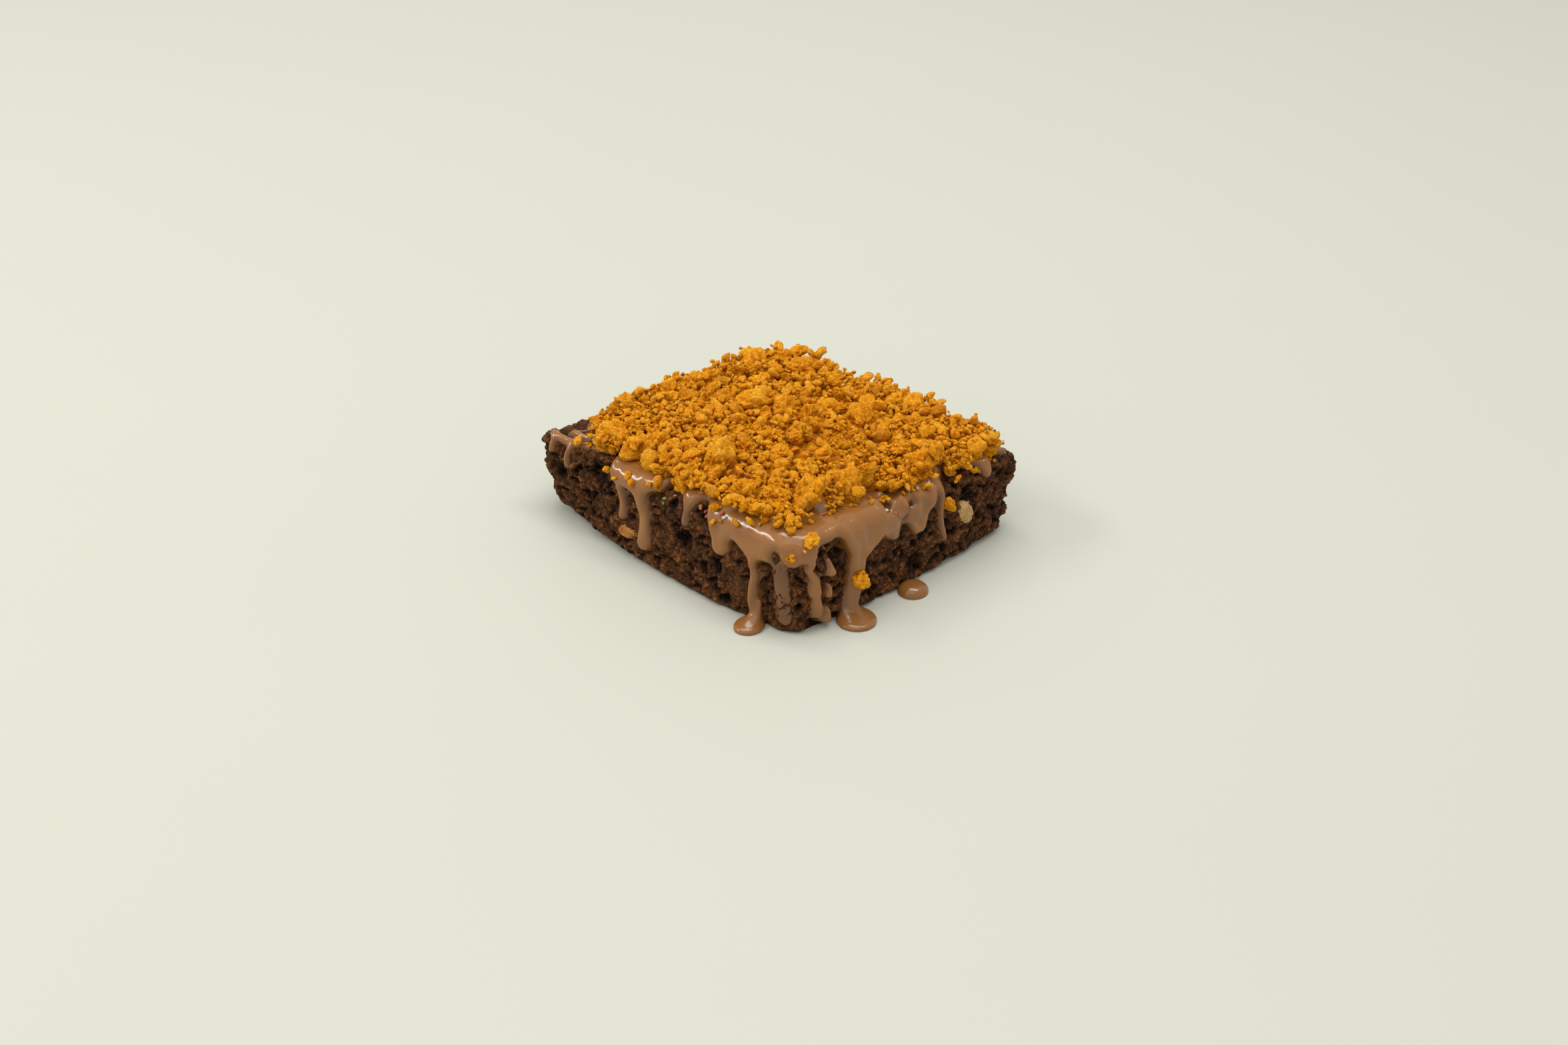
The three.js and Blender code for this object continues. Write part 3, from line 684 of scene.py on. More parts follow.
STREAKS = [
    # thin lines of sauce that were flicked over the left corner: turns, runs, half widths
    ((-0.12, -0.02, 0.08, 0.2, 0.26), (-6.0, -3.4, -2.6, -3.0, -3.4), (0.6, 0.9, 1.0, 0.9, 0.7)),
    ((-0.02, 0.05, 0.12, 0.2, 0.25), (-0.6, 0.6, 0.9, 0.0, -1.0), (0.6, 1.0, 1.1, 0.8, 0.7)),
    ((0.06, 0.07, 0.075), (0.6, 2.5, 4.4), (0.8, 0.5, 0.7)),
    ((0.14, 0.14, 0.14), (0.6, 3.5, 6.6), (1.0, 0.7, 0.9)),
]
RAGGED = {"turn": 1.0, "half": 0.13, "grain": 1.5, "height": 0.8}
LUMPY = {"turn": 1.46, "half": 0.11, "grain": 1.7, "height": 1.1}
DRIP_SWAY = 0.005
DRIP_NEAR = 0.16  # beyond this many turns from its own place, a drip has no effect
DROP_NEAR = 0.08  # the same for a loose drop
DROP_DEPTH = 1.9
STREAKS_NEAR = 0.35  # and for the streaks, from the left corner
EDGE_WAVER = 0.7  # how far the sauce's edge strays from the lines above, mm
WEB = 3.2  # how far sheet and drips melt into each other, mm
EDGE_ROLL = 1.5  # the width over which the edge rounds off, mm


def around(table, turn):
    """Eases between pairs of turn and value, all the way round."""
    at = np.append(table[:, 0], TURNS)
    value = np.append(table[:, 1], table[0, 1])
    i = np.searchsorted(at, turn % TURNS, side="right") - 1
    t = (turn % TURNS - at[i]) / (at[i + 1] - at[i])
    return value[i] + (value[i + 1] - value[i]) * t * t * (3 - 2 * t)


def melt(a, b, width):
    """The larger of two distances, with a smooth web where they are about equal."""
    blend = np.maximum(width - np.abs(a - b), 0) / width
    return np.maximum(a, b) + blend**2 * width / 4


def drip_path(drip, steps=26):
    """Turn, run and half width along a drip, from on top of the cake to its tip."""
    s = np.linspace(0, 1, steps)
    turn = drip["turn"] + drip["drift"] * s + DRIP_SWAY * np.sin(5 * s + 9 * drip["turn"])
    end = run_down_to(drip["turn"], drip["tip"]) - drip["bead"] * (drip["tip"] > 0)
    narrowing = drip["rim"] + (drip["neck"] - drip["rim"]) * smoothstep(s, 0.15, 0.5)
    width = narrowing + (drip["bead"] - narrowing) * smoothstep(s, 0.6, 0.95)
    return turn, -3 + (end + 3) * s, width


def inside_path(turn, run, path):
    """How far each place is inside a tapered stroke, in mm; negative outside."""
    best = np.full(turn.shape, -20.0)
    u, v = turn * SIDE, run
    path_u, path_v, path_w = path[0] * SIDE, path[1], path[2]
    for k in range(len(path_u) - 1):
        du, dv = path_u[k + 1] - path_u[k], path_v[k + 1] - path_v[k]
        t = np.clip(((u - path_u[k]) * du + (v - path_v[k]) * dv) / (du * du + dv * dv), 0, 1)
        away = np.hypot(u - path_u[k] - t * du, v - path_v[k] - t * dv)
        best = np.maximum(best, path_w[k] + (path_w[k + 1] - path_w[k]) * t - away)
    return best


def turns_from(turn, start):
    """How far round the rim each place is from a start, the short way, and negative before it."""
    return (turn - start + TURNS / 2) % TURNS - TURNS / 2


def pour_drips(turn, run, inside, thick):
    for drip in DRIPS:
        near = np.abs(turns_from(turn, drip["turn"])) < DRIP_NEAR
        stroke = inside_path(turn[near], run[near], drip_path(drip))
        weight = smoothstep(stroke - inside[near], -1.5, 1.5)
        thick[near] += weight * (drip["depth"] - thick[near])
        inside[near] = melt(inside[near], stroke, WEB)


def pour_loose_drops(turn, run, inside, thick):
    for at, z, width, half in LOOSE_DROPS:
        near = np.abs(turn - at) < DROP_NEAR
        ends = run_down_to(at, z) + np.array([-1, 1]) * (half - width)
        path = (np.array([at, at]), ends, np.array([0.6, 1]) * width)
        stroke = inside_path(turn[near], run[near], path)
        thick[near] = np.where(stroke > inside[near], DROP_DEPTH, thick[near])
        inside[near] = np.maximum(inside[near], stroke)


def pour_streaks(turn, run, inside, thick):
    from_corner = turns_from(turn, 0.0)
    near = np.abs(from_corner) < STREAKS_NEAR
    for path in STREAKS:
        stroke = inside_path(from_corner[near], run[near], [np.array(v) for v in path])
        thick[near] = np.where(stroke > inside[near], STREAK_DEPTH, thick[near])
        inside[near] = melt(inside[near], stroke, 1.0)


def sauce_map(turn, run):
    """Distance inside the sauce and full thickness, over the unrolled skin."""
    unrolled = np.stack([turn * SIDE, run, 0 * run], -1)
    inside = around(SHEET_REACH, turn) - run + EDGE_WAVER * rolling(unrolled, 3.5, 11)
    thick = SAUCE_DEPTH * around(THIN, turn)
    for pour in (pour_drips, pour_loose_drops, pour_streaks):
        pour(turn, run, inside, thick)
    ragged = 1 - smoothstep(np.abs(turn - RAGGED["turn"]), RAGGED["half"] * 0.7, RAGGED["half"])
    edge_noise = rolling(unrolled, RAGGED["grain"], 15)
    inside = inside + RAGGED["height"] * ragged * smoothstep(run, 4, 7) * edge_noise
    waver = EDGE_WAVER * rolling(unrolled, 1.5, 13)
    for at, down, radius in WINDOWS:
        clear = np.hypot((turn - at) * SIDE, run - down) - radius + waver
        inside = -melt(-inside, -clear, 0.8)
    return inside, thick


# %% [markdown]
# The map becomes a closed shell over the cake, with each puddle added as a flaring foot under its
# drip. A voxel remesh then joins shell and feet into one body, and smoothing rounds the joints, as
# surface tension does. What the remesh makes inside the cake is removed again.

# %% Shell, puddles and remesh
SAUCE_COLUMNS = 780
SAUCE_ROWS = 104
SAUCE_INNER_RUN = -17.0
OUTER_SUNK = -2.2  # height of the shell's outside over the cake's skin where there's no sauce, mm
SHELL_SUNK = -3.2  # height of its inside, mm
CUT_AT = -1.4  # what lies lower than this in the remeshed shell is cut away, mm
VOXEL = 0.37  # mm
SMOOTHING = 7
PUDDLES = [
    # along and out: half widths on the table; neck: half width of the drip that feeds it
    {"turn": 0.868, "reach": 2.2, "along": 3.5, "out": 4.2, "neck": 0.9},
    {"turn": 1.215, "reach": 2.8, "along": 5.0, "out": 4.8, "neck": 1.7},
]
PUDDLE_RIM = 1.1
FLARE = 1.3
FLARE_TOP = 6.0
# The sauce is painted darker low down, towards the table: painted shade.
LOW_SHADE_TO = 11.0  # below this height the sauce darkens, mm
LOW_SHADE_SHARE = 0.25


def sauce_shell():
    turn = np.arange(SAUCE_COLUMNS) * TURNS / SAUCE_COLUMNS
    low = run_down_to(turn, 0.0)
    run = SAUCE_INNER_RUN + (low - SAUCE_INNER_RUN) * np.linspace(0, 1, SAUCE_ROWS)[:, None]
    turn = np.broadcast_to(turn, run.shape)
    inside, thick = sauce_map(turn, run)
    x = np.clip(inside / EDGE_ROLL, 0, 1)
    rolled = thick * np.sqrt(1 - (1 - x) ** 2)
    swell = 0.3 * np.minimum(thick, 1.2) * np.exp(-(((inside - 1.6) / 1.3) ** 2)) * (inside > 0)
    lift = np.where(inside > 0, rolled + swell, np.maximum(1.6 * inside, OUTER_SUNK))
    flat, normal, _ = skin(turn, run)
    base = crag(flat)[0] * crag_share(run) * (0.2 + 0.65 * smoothstep(run, RIM_ARC, RIM_ARC + 5))
    waves = 0.08 * rolling(flat, 6.5, 21) * x
    lumpy = 1 - smoothstep(np.abs(turn - LUMPY["turn"]), LUMPY["half"] * 0.6, LUMPY["half"])
    waves = waves + LUMPY["height"] * lumpy * np.maximum(rolling(flat, LUMPY["grain"], 23), -0.3) * x
    outer = flat + normal * (base + lift + waves)[..., None]
    inner = flat + normal * (crag(flat)[0] * crag_share(run) + SHELL_SUNK)[..., None]
    return np.concatenate([outer, inner[::-1]])


def puddle(turn, reach, along, out, neck):
    """Rings from the table up to the neck, each an ellipse that moves in against the side."""
    foot, _, tangent = skin(turn, run_down_to(turn, 0.0))
    outward = np.array([tangent[1], -tangent[0], 0.0])
    angle = np.linspace(0, 2 * np.pi, 40, endpoint=False)
    rings = []
    for z in np.concatenate([np.linspace(0, PUDDLE_RIM, 7), np.linspace(1.4, FLARE_TOP, 14)]):
        rounding = 0.7 * (1 - np.sqrt(1 - min(z / PUDDLE_RIM, 1) ** 2)) if z < PUDDLE_RIM else 0.7
        spread = np.exp(-max(z - PUDDLE_RIM, 0) / FLARE)
        wide = neck + (along - rounding - neck) * spread
        deep = 0.6 * neck + (out - rounding - 0.6 * neck) * spread
        middle = foot + outward * (reach * spread - neck * (1 - spread)) + np.array([0, 0, z])
        rings.append(
            middle + np.cos(angle)[:, None] * tangent * wide + np.sin(angle)[:, None] * outward * deep
        )
    rings = np.array(rings)
    ends = [np.repeat(r.mean(0)[None], len(angle), 0) for r in (rings[0], rings[-1])]
    return np.concatenate([ends[0][None], rings, ends[1][None]])


def joined(parts):
    """Points and faces of several grids, each a stack of rings."""
    points, faces, start = [], [], 0
    for rings, closed in parts:
        points.append(rings.reshape(-1, 3))
        faces.append(grid_faces(rings.shape[0], rings.shape[1], closed) + start)
        start += len(points[-1])
    return np.concatenate(points), np.concatenate(faces)


def apply_modifiers(obj):
    bpy.context.view_layer.update()
    depsgraph = bpy.context.evaluated_depsgraph_get()
    mesh = bpy.data.meshes.new_from_object(obj.evaluated_get(depsgraph))
    obj.modifiers.clear()
    obj.data = mesh


def melt_together(obj, voxel, smoothing):
    remesh = obj.modifiers.new("Remesh", "REMESH")
    remesh.mode = "VOXEL"
    remesh.voxel_size = voxel * MM
    remesh.use_smooth_shade = True
    smooth = obj.modifiers.new("Smooth", "SMOOTH")
    smooth.factor = 0.5
    smooth.iterations = smoothing
    apply_modifiers(obj)


def points_of(obj):
    co = np.empty(len(obj.data.vertices) * 3, np.float32)
    obj.data.vertices.foreach_get("co", co)
    return co.reshape(-1, 3).astype(float) / MM - TO_FRAME


def keep_points(obj, keep):
    """Removes the points that aren't kept, and the faces that use them."""
    bm = bmesh.new()
    bm.from_mesh(obj.data)
    bm.verts.ensure_lookup_table()
    gone = [v for v, kept in zip(bm.verts, keep) if not kept]
    bmesh.ops.delete(bm, geom=gone, context="VERTS")
    bm.to_mesh(obj.data)
    bm.free()


def height_over(points, grid):
    """How far points stand off a surface that is given as rows of points."""
    faces = grid_faces(*grid.shape[:2])[:, ::-1]
    tree = BVHTree.FromPolygons(grid.reshape(-1, 3).tolist(), faces.tolist())
    heights = np.empty(len(points))
    for i, p in enumerate(points):
        where, normal, _, _ = tree.find_nearest(p)
        heights[i] = (p - np.array(where)) @ np.array(normal)
    return heights


smooth_cake = (flat_points + normals * (crags * share)[..., None])[::2, ::3]
shell_parts = [(sauce_shell(), True)] + [(puddle(**p), False) for p in PUDDLES]
sauce = add_object("sauce_poured", *joined(shell_parts))
melt_together(sauce, VOXEL, SMOOTHING)
over_cake = height_over(points_of(sauce), smooth_cake)
keep_points(sauce, over_cake > CUT_AT)
sauce_points = points_of(sauce)
thickness = over_cake[over_cake > CUT_AT]
sauce_mark = sauce.data.attributes.new("depth", "FLOAT", "POINT")
# Painted shade: the lowest sauce, near the table, is darkened.
low_shade = 1 - smoothstep(sauce_points[:, 2], LOW_SHADE_TO * 0.3, LOW_SHADE_TO)
sauce_depth = smoothstep(thickness, 0.1, 1.5) * (1 - LOW_SHADE_SHARE * low_shade)
sauce_mark.data.foreach_set("value", sauce_depth.astype(np.float32))
place(sauce, SAUCE, "sauce", "sauce")


# %% The drop by itself on the table
def table_drop():
    low, high = (np.array(v) / MM - TO_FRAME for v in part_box("sauce_drop"))
    middle, radius, top = (low + high) / 2, (high - low)[:2].max() / 2, high[2]
    angle = np.linspace(0, 2 * np.pi, 48, endpoint=False)
    rings = []
    for s in np.linspace(0, 1, 18):
        r, z = radius * np.cos(s * np.pi / 2) ** 0.8, top * np.sin(s * np.pi / 2)
        x, y = middle[0] + r * np.cos(angle), middle[1] + 1.1 * r * np.sin(angle)
        rings.append(lifted(np.stack([x, y], -1), z))
    return np.array(rings)


drop_rings = table_drop()
drop = add_object(
    "sauce_spot", drop_rings.reshape(-1, 3), grid_faces(*drop_rings.shape[:2]),
    {"depth": np.full(drop_rings.shape[:2], 0.7)},
)
place(drop, SAUCE, "sauce", "sauce_drop")

# %% [markdown]
# ## The biscuit crumbs
#
# Broken biscuit comes in every size, from pieces of nearly a centimetre to sand, and each piece is a
# clump of sugary grains with a few broken faces. A crumb starts as the directions of a ball's points.
# A few lobes grown together say how far it reaches in each, and planes cut broken faces into it.
# Rolling noise makes it lumpy, and packed grains give it its sandy surface.
#
# The heap is built as it is in a kitchen: crumbs fall on the sauce, the large ones first, and
# each comes to rest on what already lies there. A height map of the heap so far says how low
# each can go.

# %% Making crumbs
HEAP_REACH = np.array([
    # turn, run of the heap's edge
    (0, -9), (0.1, -6), (0.2, -1), (0.27, 1), (0.34, -1.5), (0.42, -2), (0.5, 0.5), (0.62, 2), (0.75, 3),
    (0.84, 2), (0.92, 0), (1.0, -3.5), (1.1, -3), (1.25, -2.5), (1.35, -1), (1.5, 0), (1.65, 1),
    (1.85, 1), (2.0, -3.5), (2.15, 0.5), (2.4, 1.5), (2.6, 0.5), (2.85, 1), (3.0, -3), (3.2, -2),
    (3.4, -3), (3.6, -2.5), (3.8, -3), (3.92, -5.5),
])
LOBES = 6  # lumps grown together in a crumb
BREAKS = 5  # broken faces on it
draws = np.random.default_rng(SEED)


def ball(level):
    """Unit directions and triangles of an icosphere."""
    bm = bmesh.new()
    bmesh.ops.create_icosphere(bm, subdivisions=level, radius=1.0)
    bm.verts.ensure_lookup_table()
    directions = np.array([v.co for v in bm.verts])
    faces = np.array([[v.index for v in f.verts] for f in bm.faces])
    bm.free()
    return directions, faces


def lying_turns(count, tilt):
    """Rotations any way round the upright, and tilted a little, as loose pieces come to lie."""
    yaw = draws.uniform(0, 2 * np.pi, count)
    lean = draws.normal(0, tilt, (count, 2))
    q = np.stack([np.cos(yaw / 2), lean[:, 0], lean[:, 1], np.sin(yaw / 2)], -1)
    w, x, y, z = unit(q).T
    rows = [
        [1 - 2 * (y * y + z * z), 2 * (x * y - z * w), 2 * (x * z + y * w)],
        [2 * (x * y + z * w), 1 - 2 * (x * x + z * z), 2 * (y * z - x * w)],
        [2 * (x * z - y * w), 2 * (y * z + x * w), 1 - 2 * (x * x + y * y)],
    ]
    return np.array(rows).transpose(2, 0, 1)


def clump(directions, count, spread):
    """How far each crumb reaches in each direction: a few lobes grown together, with broken faces."""
    lobes = unit(draws.normal(size=(count, LOBES, 3))) * draws.uniform(0.15, spread, (count, LOBES, 1))
    size = draws.uniform(0.9 - spread, 1.15 - spread, (count, 1, LOBES))
    along = np.einsum("vk,clk->cvl", directions, lobes)
    beside = (lobes**2).sum(-1)[:, None, :] - along**2
    reach = np.where(size**2 > beside, along + np.sqrt(np.maximum(size**2 - beside, 0)), 0.3)
    radius = (np.maximum(reach, 0.3) ** 10).sum(-1) ** 0.1
    planes = unit(draws.normal(size=(count, BREAKS, 3)))
    away = draws.uniform(0.6, 1.0, (count, 1, BREAKS))
    facing = np.maximum(np.einsum("vk,cpk->cvp", directions, planes), 0.1)
    cut = ((away / facing) ** -8.0).sum(-1) + radius**-8.0
    return cut**-0.125


def crumb_shapes(directions, radii, grain, rough, spread):
    """Points about the middle of each crumb, and a colour mark from 0 to 1: painted shade in
    hollows and grain gaps, painted light on lumps and outer parts, and random tone.
    """
    count = len(radii)
    where = draws.uniform(-500, 500, (count, 1, 3))
    radius = clump(directions, count, spread)
    radius = radius / radius.mean(1, keepdims=True)
    points = directions * (radius * radii[:, None])[..., None]
    sand, tone = grains(warped(points + where, 1.3, 0.4, 35), grain, 37)
    finer, _ = grains(points + where, grain * 0.6, 39)
    lumps = rolling(points + where, 2.2, 33) + 0.7 * rolling(points + where, 1.2, 34)
    bump = 0.5 - sand**1.3 + 0.4 * (0.5 - finer)
    points = points + directions * (rough * (1.2 * bump + 1.1 * lumps))[..., None]
    # Painted shade and light: hollows and grain gaps darker, lumps and outer parts lighter; the tone term
    # is random.
    shade_and_tone = 0.53 + 0.6 * bump + 0.28 * lumps + 0.2 * (tone - 0.5) + 0.3 * (radius - 1)
    ranges = ((1.0, 1.4), (0.85, 1.1), (0.55, 0.85))
    stretch = np.stack([draws.uniform(low, high, count) for low, high in ranges], -1)
    points = np.einsum("cvk,cjk->cvj", points * stretch[:, None, :], lying_turns(count, 0.3))
    return points, np.clip(shade_and_tone, 0, 1)


# %% [markdown]
# A crumb comes to rest on a height map of the heap so far. Its own underside is used, point by
# point, so it lies on what it touches and doesn't hover over it, and it sinks in a little because
# crumbs are soft and the sauce holds them.

# %% Letting crumbs fall and roll
MAP_STEP = 0.4
MAP_HALF = 56.0
ROLLS = 5  # steps that a crumb may roll
STEEP_FROM = 1.5  # beyond this run a crumb sticks to the side and doesn't rest on it, mm
EDGE_DROP = 3.0  # how far under the cake's top the map starts, mm
EDGE_BAND = 5.0  # width of the band at the heap's edge that some crumbs are kept to, mm
sticky = np.concatenate([cake_points.reshape(-1, 3), sauce_points])
COMPASS = np.array([(0, 0)] + [(np.cos(a), np.sin(a)) for a in np.arange(8) * np.pi / 4])
map_axis = np.arange(-MAP_HALF, MAP_HALF, MAP_STEP)
map_plan = np.stack(np.meshgrid(map_axis, map_axis, indexing="ij"), -1)
heap_map = top_height(map_plan) - EDGE_DROP


def turn_and_run(plan):
    """Turn and run of places in plan on the top, found from the directions of points of the rim."""
    turn = np.linspace(0, TURNS, 640, endpoint=False)
    start = rim_start(turn)
    angle = np.arctan2(start[:, 1], start[:, 0])
    order = np.argsort(angle)
    there = np.arctan2(plan[..., 1], plan[..., 0])
    found = np.interp(there, angle[order], turn[order], period=2 * np.pi)
    edge = np.linalg.norm(rim_start(found), axis=-1)
    away = np.linalg.norm(plan, axis=-1)
    return found, np.where(away < edge, (away / edge - 1) * TO_MIDDLE, away - edge)


map_turn, map_run = turn_and_run(map_plan)
inside_heap = np.where(map_run < RIM_RADIUS - 0.4, around(HEAP_REACH, map_turn) - map_run, -99.0)


def cells(points):
    return tuple(np.round((points[..., k] + MAP_HALF) / MAP_STEP).astype(int) for k in (0, 1))


def raise_map(points):
    """The heap so far is at least as high as these points."""
    points = points.reshape(-1, 3)
    np.maximum.at(heap_map, cells(points), points[:, 2])


def resting(shape, places):
    """How high a crumb's middle comes to rest over each place."""
    return (heap_map[cells(shape[None, :, :2] + places[:, None])] - shape[:, 2]).max(1)


def roll_down(shape, at, step, within):
    """Follows the heap downhill from a place, but not past the heap's edge."""
    for _ in range(ROLLS):
        places = at + step * COMPASS
        heights = np.where(inside_heap[cells(places)] > within, resting(shape, places), np.inf)
        best = int(np.argmin(heights))
        if best == 0:
            break
        at = places[best]
    return at, resting(shape, at[None])[0]


def stuck(turn, run, radius):
    """The middle of a crumb that sticks to the steep side, sunk a little into what is there."""
    at, normal, _ = skin(turn, run)
    off = (sticky - at) @ normal
    beside = np.linalg.norm(sticky - at - off[:, None] * normal, axis=1)
    stand = off[(beside < 0.6 * radius) & (np.abs(off) < 5)].max()
    return at + normal * (stand + 0.4 * radius)


def lay(shapes, radii, tries, settle, edge, near_edge, spots):
    """Lets each crumb fall in turn. The first ones go to given spots, if there are any."""
    middles = []
    for n, (shape, radius) in enumerate(zip(shapes, radii)):
        within = 0.6 * radius - edge
        if n < len(spots) and spots[n][1] > STEEP_FROM:
            middles.append(stuck(*spots[n]))
            continue
        if n < len(spots):
            at = skin(spots[n][0], spots[n][1])[0][:2]
            height = resting(shape, at[None])[0]
        else:
            by_edge = draws.uniform() < near_edge
            limit = within + EDGE_BAND if by_edge else np.inf
            free = np.argwhere((inside_heap > within) & (inside_heap < limit))
            starts = map_plan[tuple(free[draws.integers(0, len(free), tries)].T)]
            start = starts[np.argmin(resting(shape, starts))]
            at, height = roll_down(shape, start, 0.5 * radius, within)
        middle = np.array([*at, height - settle * radius])
        raise_map(shape + middle)
        middles.append(middle)
    return np.array(middles)


# %% [markdown]
# Underneath, the crumbs have packed into a bed that no one can tell apart into pieces. It's one
# surface of clumps on clumps, and it fills the ground between the loose crumbs. It is coloured
# darker than the loose crumbs all over, as painted shade in the gaps between them.

# %% The bed that the crumbs lie in
BED_STEP = 0.34
BED_INSET = 3.6
BED_SLOPE = 9.0
BED_DEPTH = 1.5
BED_SUNK = 1.5
# The share of darker colour over the whole bed: painted shade in the gaps between crumbs.
BED_PAINTED_SHADE = 0.35
BED_CLUMPS = [{"size": 5.2, "height": 1.4, "seed": 43}, {"size": 2.4, "height": 1.3, "seed": 47}]
BED_GRAIN = {"size": 0.9, "height": 0.5, "seed": 53}


def dome(points, size, height, seed):
    """Packed round clumps, with creases between them."""
    middle, tone = grains(warped(points, size * 0.6, size * 0.25, seed + 1), size, seed)
    return height * (0.5 + 0.5 * tone) * np.maximum(0, 1 - (middle / 0.9) ** 2.5)


def crumb_bed():
    """Points over the sauce, with the squares that lie within the heap's reach."""
    axis = np.arange(-46, 46, BED_STEP)
    x, y = np.meshgrid(axis, axis, indexing="ij")
    plan = np.stack([x, y], -1)
    turn, run = turn_and_run(plan)
    inside = around(HEAP_REACH, turn) - BED_INSET - run
    flat = lifted(plan, top_height(plan) + SAUCE_DEPTH - np.maximum(run, 0) ** 2 / (2 * RIM_RADIUS))
    rise = np.sqrt(np.clip(inside / BED_SLOPE, 0, 1))
    clumps = sum(dome(flat, **c) for c in BED_CLUMPS)
    bump = dome(flat, **BED_GRAIN)
    rubble = 0.35 * rolling(flat, 1.4, 55)
    height = rise * (BED_DEPTH + 1.1 * rolling(flat, 9.0, 45) + clumps + rubble) - BED_SUNK + bump
    # The bed's mark stays low, so it takes the deep colour: painted shade under the crumbs.
    shade_and_tone = 0.13 * clumps + 0.9 * bump + 0.3 * rubble
    flat[..., 2] += height
    squares = grid_faces(len(axis), len(axis))
    squares = squares[np.arange(len(squares)) % len(axis) < len(axis) - 1]
    kept = (inside.ravel() > -0.8)[squares].all(1)
    return flat.reshape(-1, 3), squares[kept], np.clip(shade_and_tone, 0, 1).ravel()


def without_strays(points, faces, marks):
    """Only the points that the faces use."""
    used, renumbered = np.unique(faces, return_inverse=True)
    return points[used], renumbered.reshape(faces.shape), marks[used]


raise_map(cake_points[:, ::2])
raise_map(sauce_points)
bed_points, bed_faces, bed_shade_and_tone = without_strays(*crumb_bed())
raise_map(bed_points)
bed_marks = {"depth": bed_shade_and_tone, "browned_and_shade": np.full_like(bed_shade_and_tone, BED_PAINTED_SHADE)}
bed = add_object("crumb_bed", bed_points, bed_faces, bed_marks)
place(bed, BISCUIT, "biscuit", "crumb_topping")

# %% The kinds of crumbs, largest first
CHUNK_SPOTS = [
    # turn, run, radius: the large crumbs that can be told apart
    (0.203, -3.6, 4.2), (2.26, -17.9, 3.8), (2.853, -2.0, 2.8), (3.748, -4.2, 3.3), (3.31, -4.4, 2.9),
    (0.753, -2.5, 3.2), (1.113, -8.0, 3.8), (0.6, -8.5, 4.2), (0.89, -7.5, 3.6), (1.37, -7.0, 3.4),
]
PIECE_SPOTS = [
    (1.238, 14.6, 2.3), (1.645, 6.9, 1.5), (1.058, 2.2, 1.1), (2.853, -1.6, 2.0),
    (0.81, -0.4, 2.2), (0.93, -3.4, 1.9), (1.37, -3.8, 2.1), (1.475, -2.4, 1.7), (0.42, -0.8, 2.2),
    (0.66, 0.2, 2.2), (1.765, -1.6, 1.9), (1.65, -1.5, 1.8), (0.475, 1.2, 1.5), (0.54, 0.6, 1.6),
]
BIT_SPOTS = [
    (1.113, -3.2, 1.3), (1.01, -2.2, 1.1), (0.985, 4.9, 1.0), (0.367, 1.4, 1.1), (0.503, 2.6, 1.2),
    (0.3, 3.4, 0.8), (0.345, 4.2, 0.7), (0.41, 3.6, 0.8), (0.47, 2.8, 0.8), (0.72, 4.2, 0.7),
    (0.79, 3.0, 0.9), (0.83, 1.8, 1.0), (1.56, 1.6, 0.9), (1.7, 1.8, 0.8), (1.79, 1.7, 0.8),
    (0.33, 0.6, 0.9), (1.575, -0.6, 1.3), (1.855, -0.4, 1.2), (0.875, 0.8, 1.0), (0.7, 2.0, 1.2),
    (0.39, 2.6, 0.8), (1.3, -1.4, 1.0), (1.43, 0.4, 0.9), (0.16, 1.2, 0.9), (0.955, 0.6, 0.8),
]
KINDS = [
    {
        "name": "crumb_chunks", "level": 5, "count": 38, "size": (2.5, 3.9),
        "grain": 0.9, "rough": 0.7, "spread": 0.48, "spots": CHUNK_SPOTS,
        "tries": 3, "settle": 0.62, "edge": -0.5, "near_edge": 0.0,
    },
    {
        "name": "crumb_pieces", "level": 4, "count": 120, "size": (1.4, 2.7),
        "grain": 0.85, "rough": 0.54, "spread": 0.52, "spots": PIECE_SPOTS,
        "tries": 5, "settle": 0.75, "edge": 0.2, "near_edge": 0.05,
    },
    {
        "name": "crumb_bits", "level": 3, "count": 460, "size": (0.7, 1.35),
        "grain": 0.75, "rough": 0.4, "spread": 0.62, "spots": BIT_SPOTS,
        "tries": 5, "settle": 0.55, "edge": 0.7, "near_edge": 0.08,
    },
    {
        "name": "crumb_sand", "level": 2, "count": 900, "size": (0.26, 0.62),
        "grain": 0.6, "rough": 0.22, "spread": 0.62, "spots": [],
        "tries": 3, "settle": 0.4, "edge": 2.0, "near_edge": 0.12,
    },
]


def add_many(name, shapes, faces, middles, marks):
    """Many pieces as one mesh, each moved to its own middle."""
    count, size = shapes.shape[:2]
    points = shapes + middles[:, None, :]
    all_faces = faces[None] + (np.arange(count) * size)[:, None, None]
    return add_object(name, points.reshape(-1, 3), all_faces.reshape(-1, 3), marks)


def add_crumbs(name, level, count, size, grain, rough, spread, spots, **falling):
    """One kind of crumb. The ones with a spot have their own radius there, and the rest are drawn."""
    directions, faces = ball(level)
    small, large = size
    loose = small + (large - small) * np.linspace(1, 0, count - len(spots)) ** 1.5
    radii = np.concatenate([[spot[2] for spot in spots], loose])
    shapes, shade_and_tone = crumb_shapes(directions, radii, grain, rough, spread)
    middles = lay(shapes, radii, spots=spots, **falling)
    browned_and_shade = np.clip(draws.normal(0.08, 0.2, (count, 1)), 0, 0.8)
    marks = {"depth": shade_and_tone, "browned_and_shade": np.broadcast_to(browned_and_shade, shade_and_tone.shape)}
    place(add_many(name, shapes, faces, middles, marks), BISCUIT, "biscuit")


for kind in KINDS:
    add_crumbs(**kind)

# %% [markdown]
# ## Nut and toffee in the cut side
#
# The knife has cut through a nut and a piece of toffee. Both keep the solid model's place.

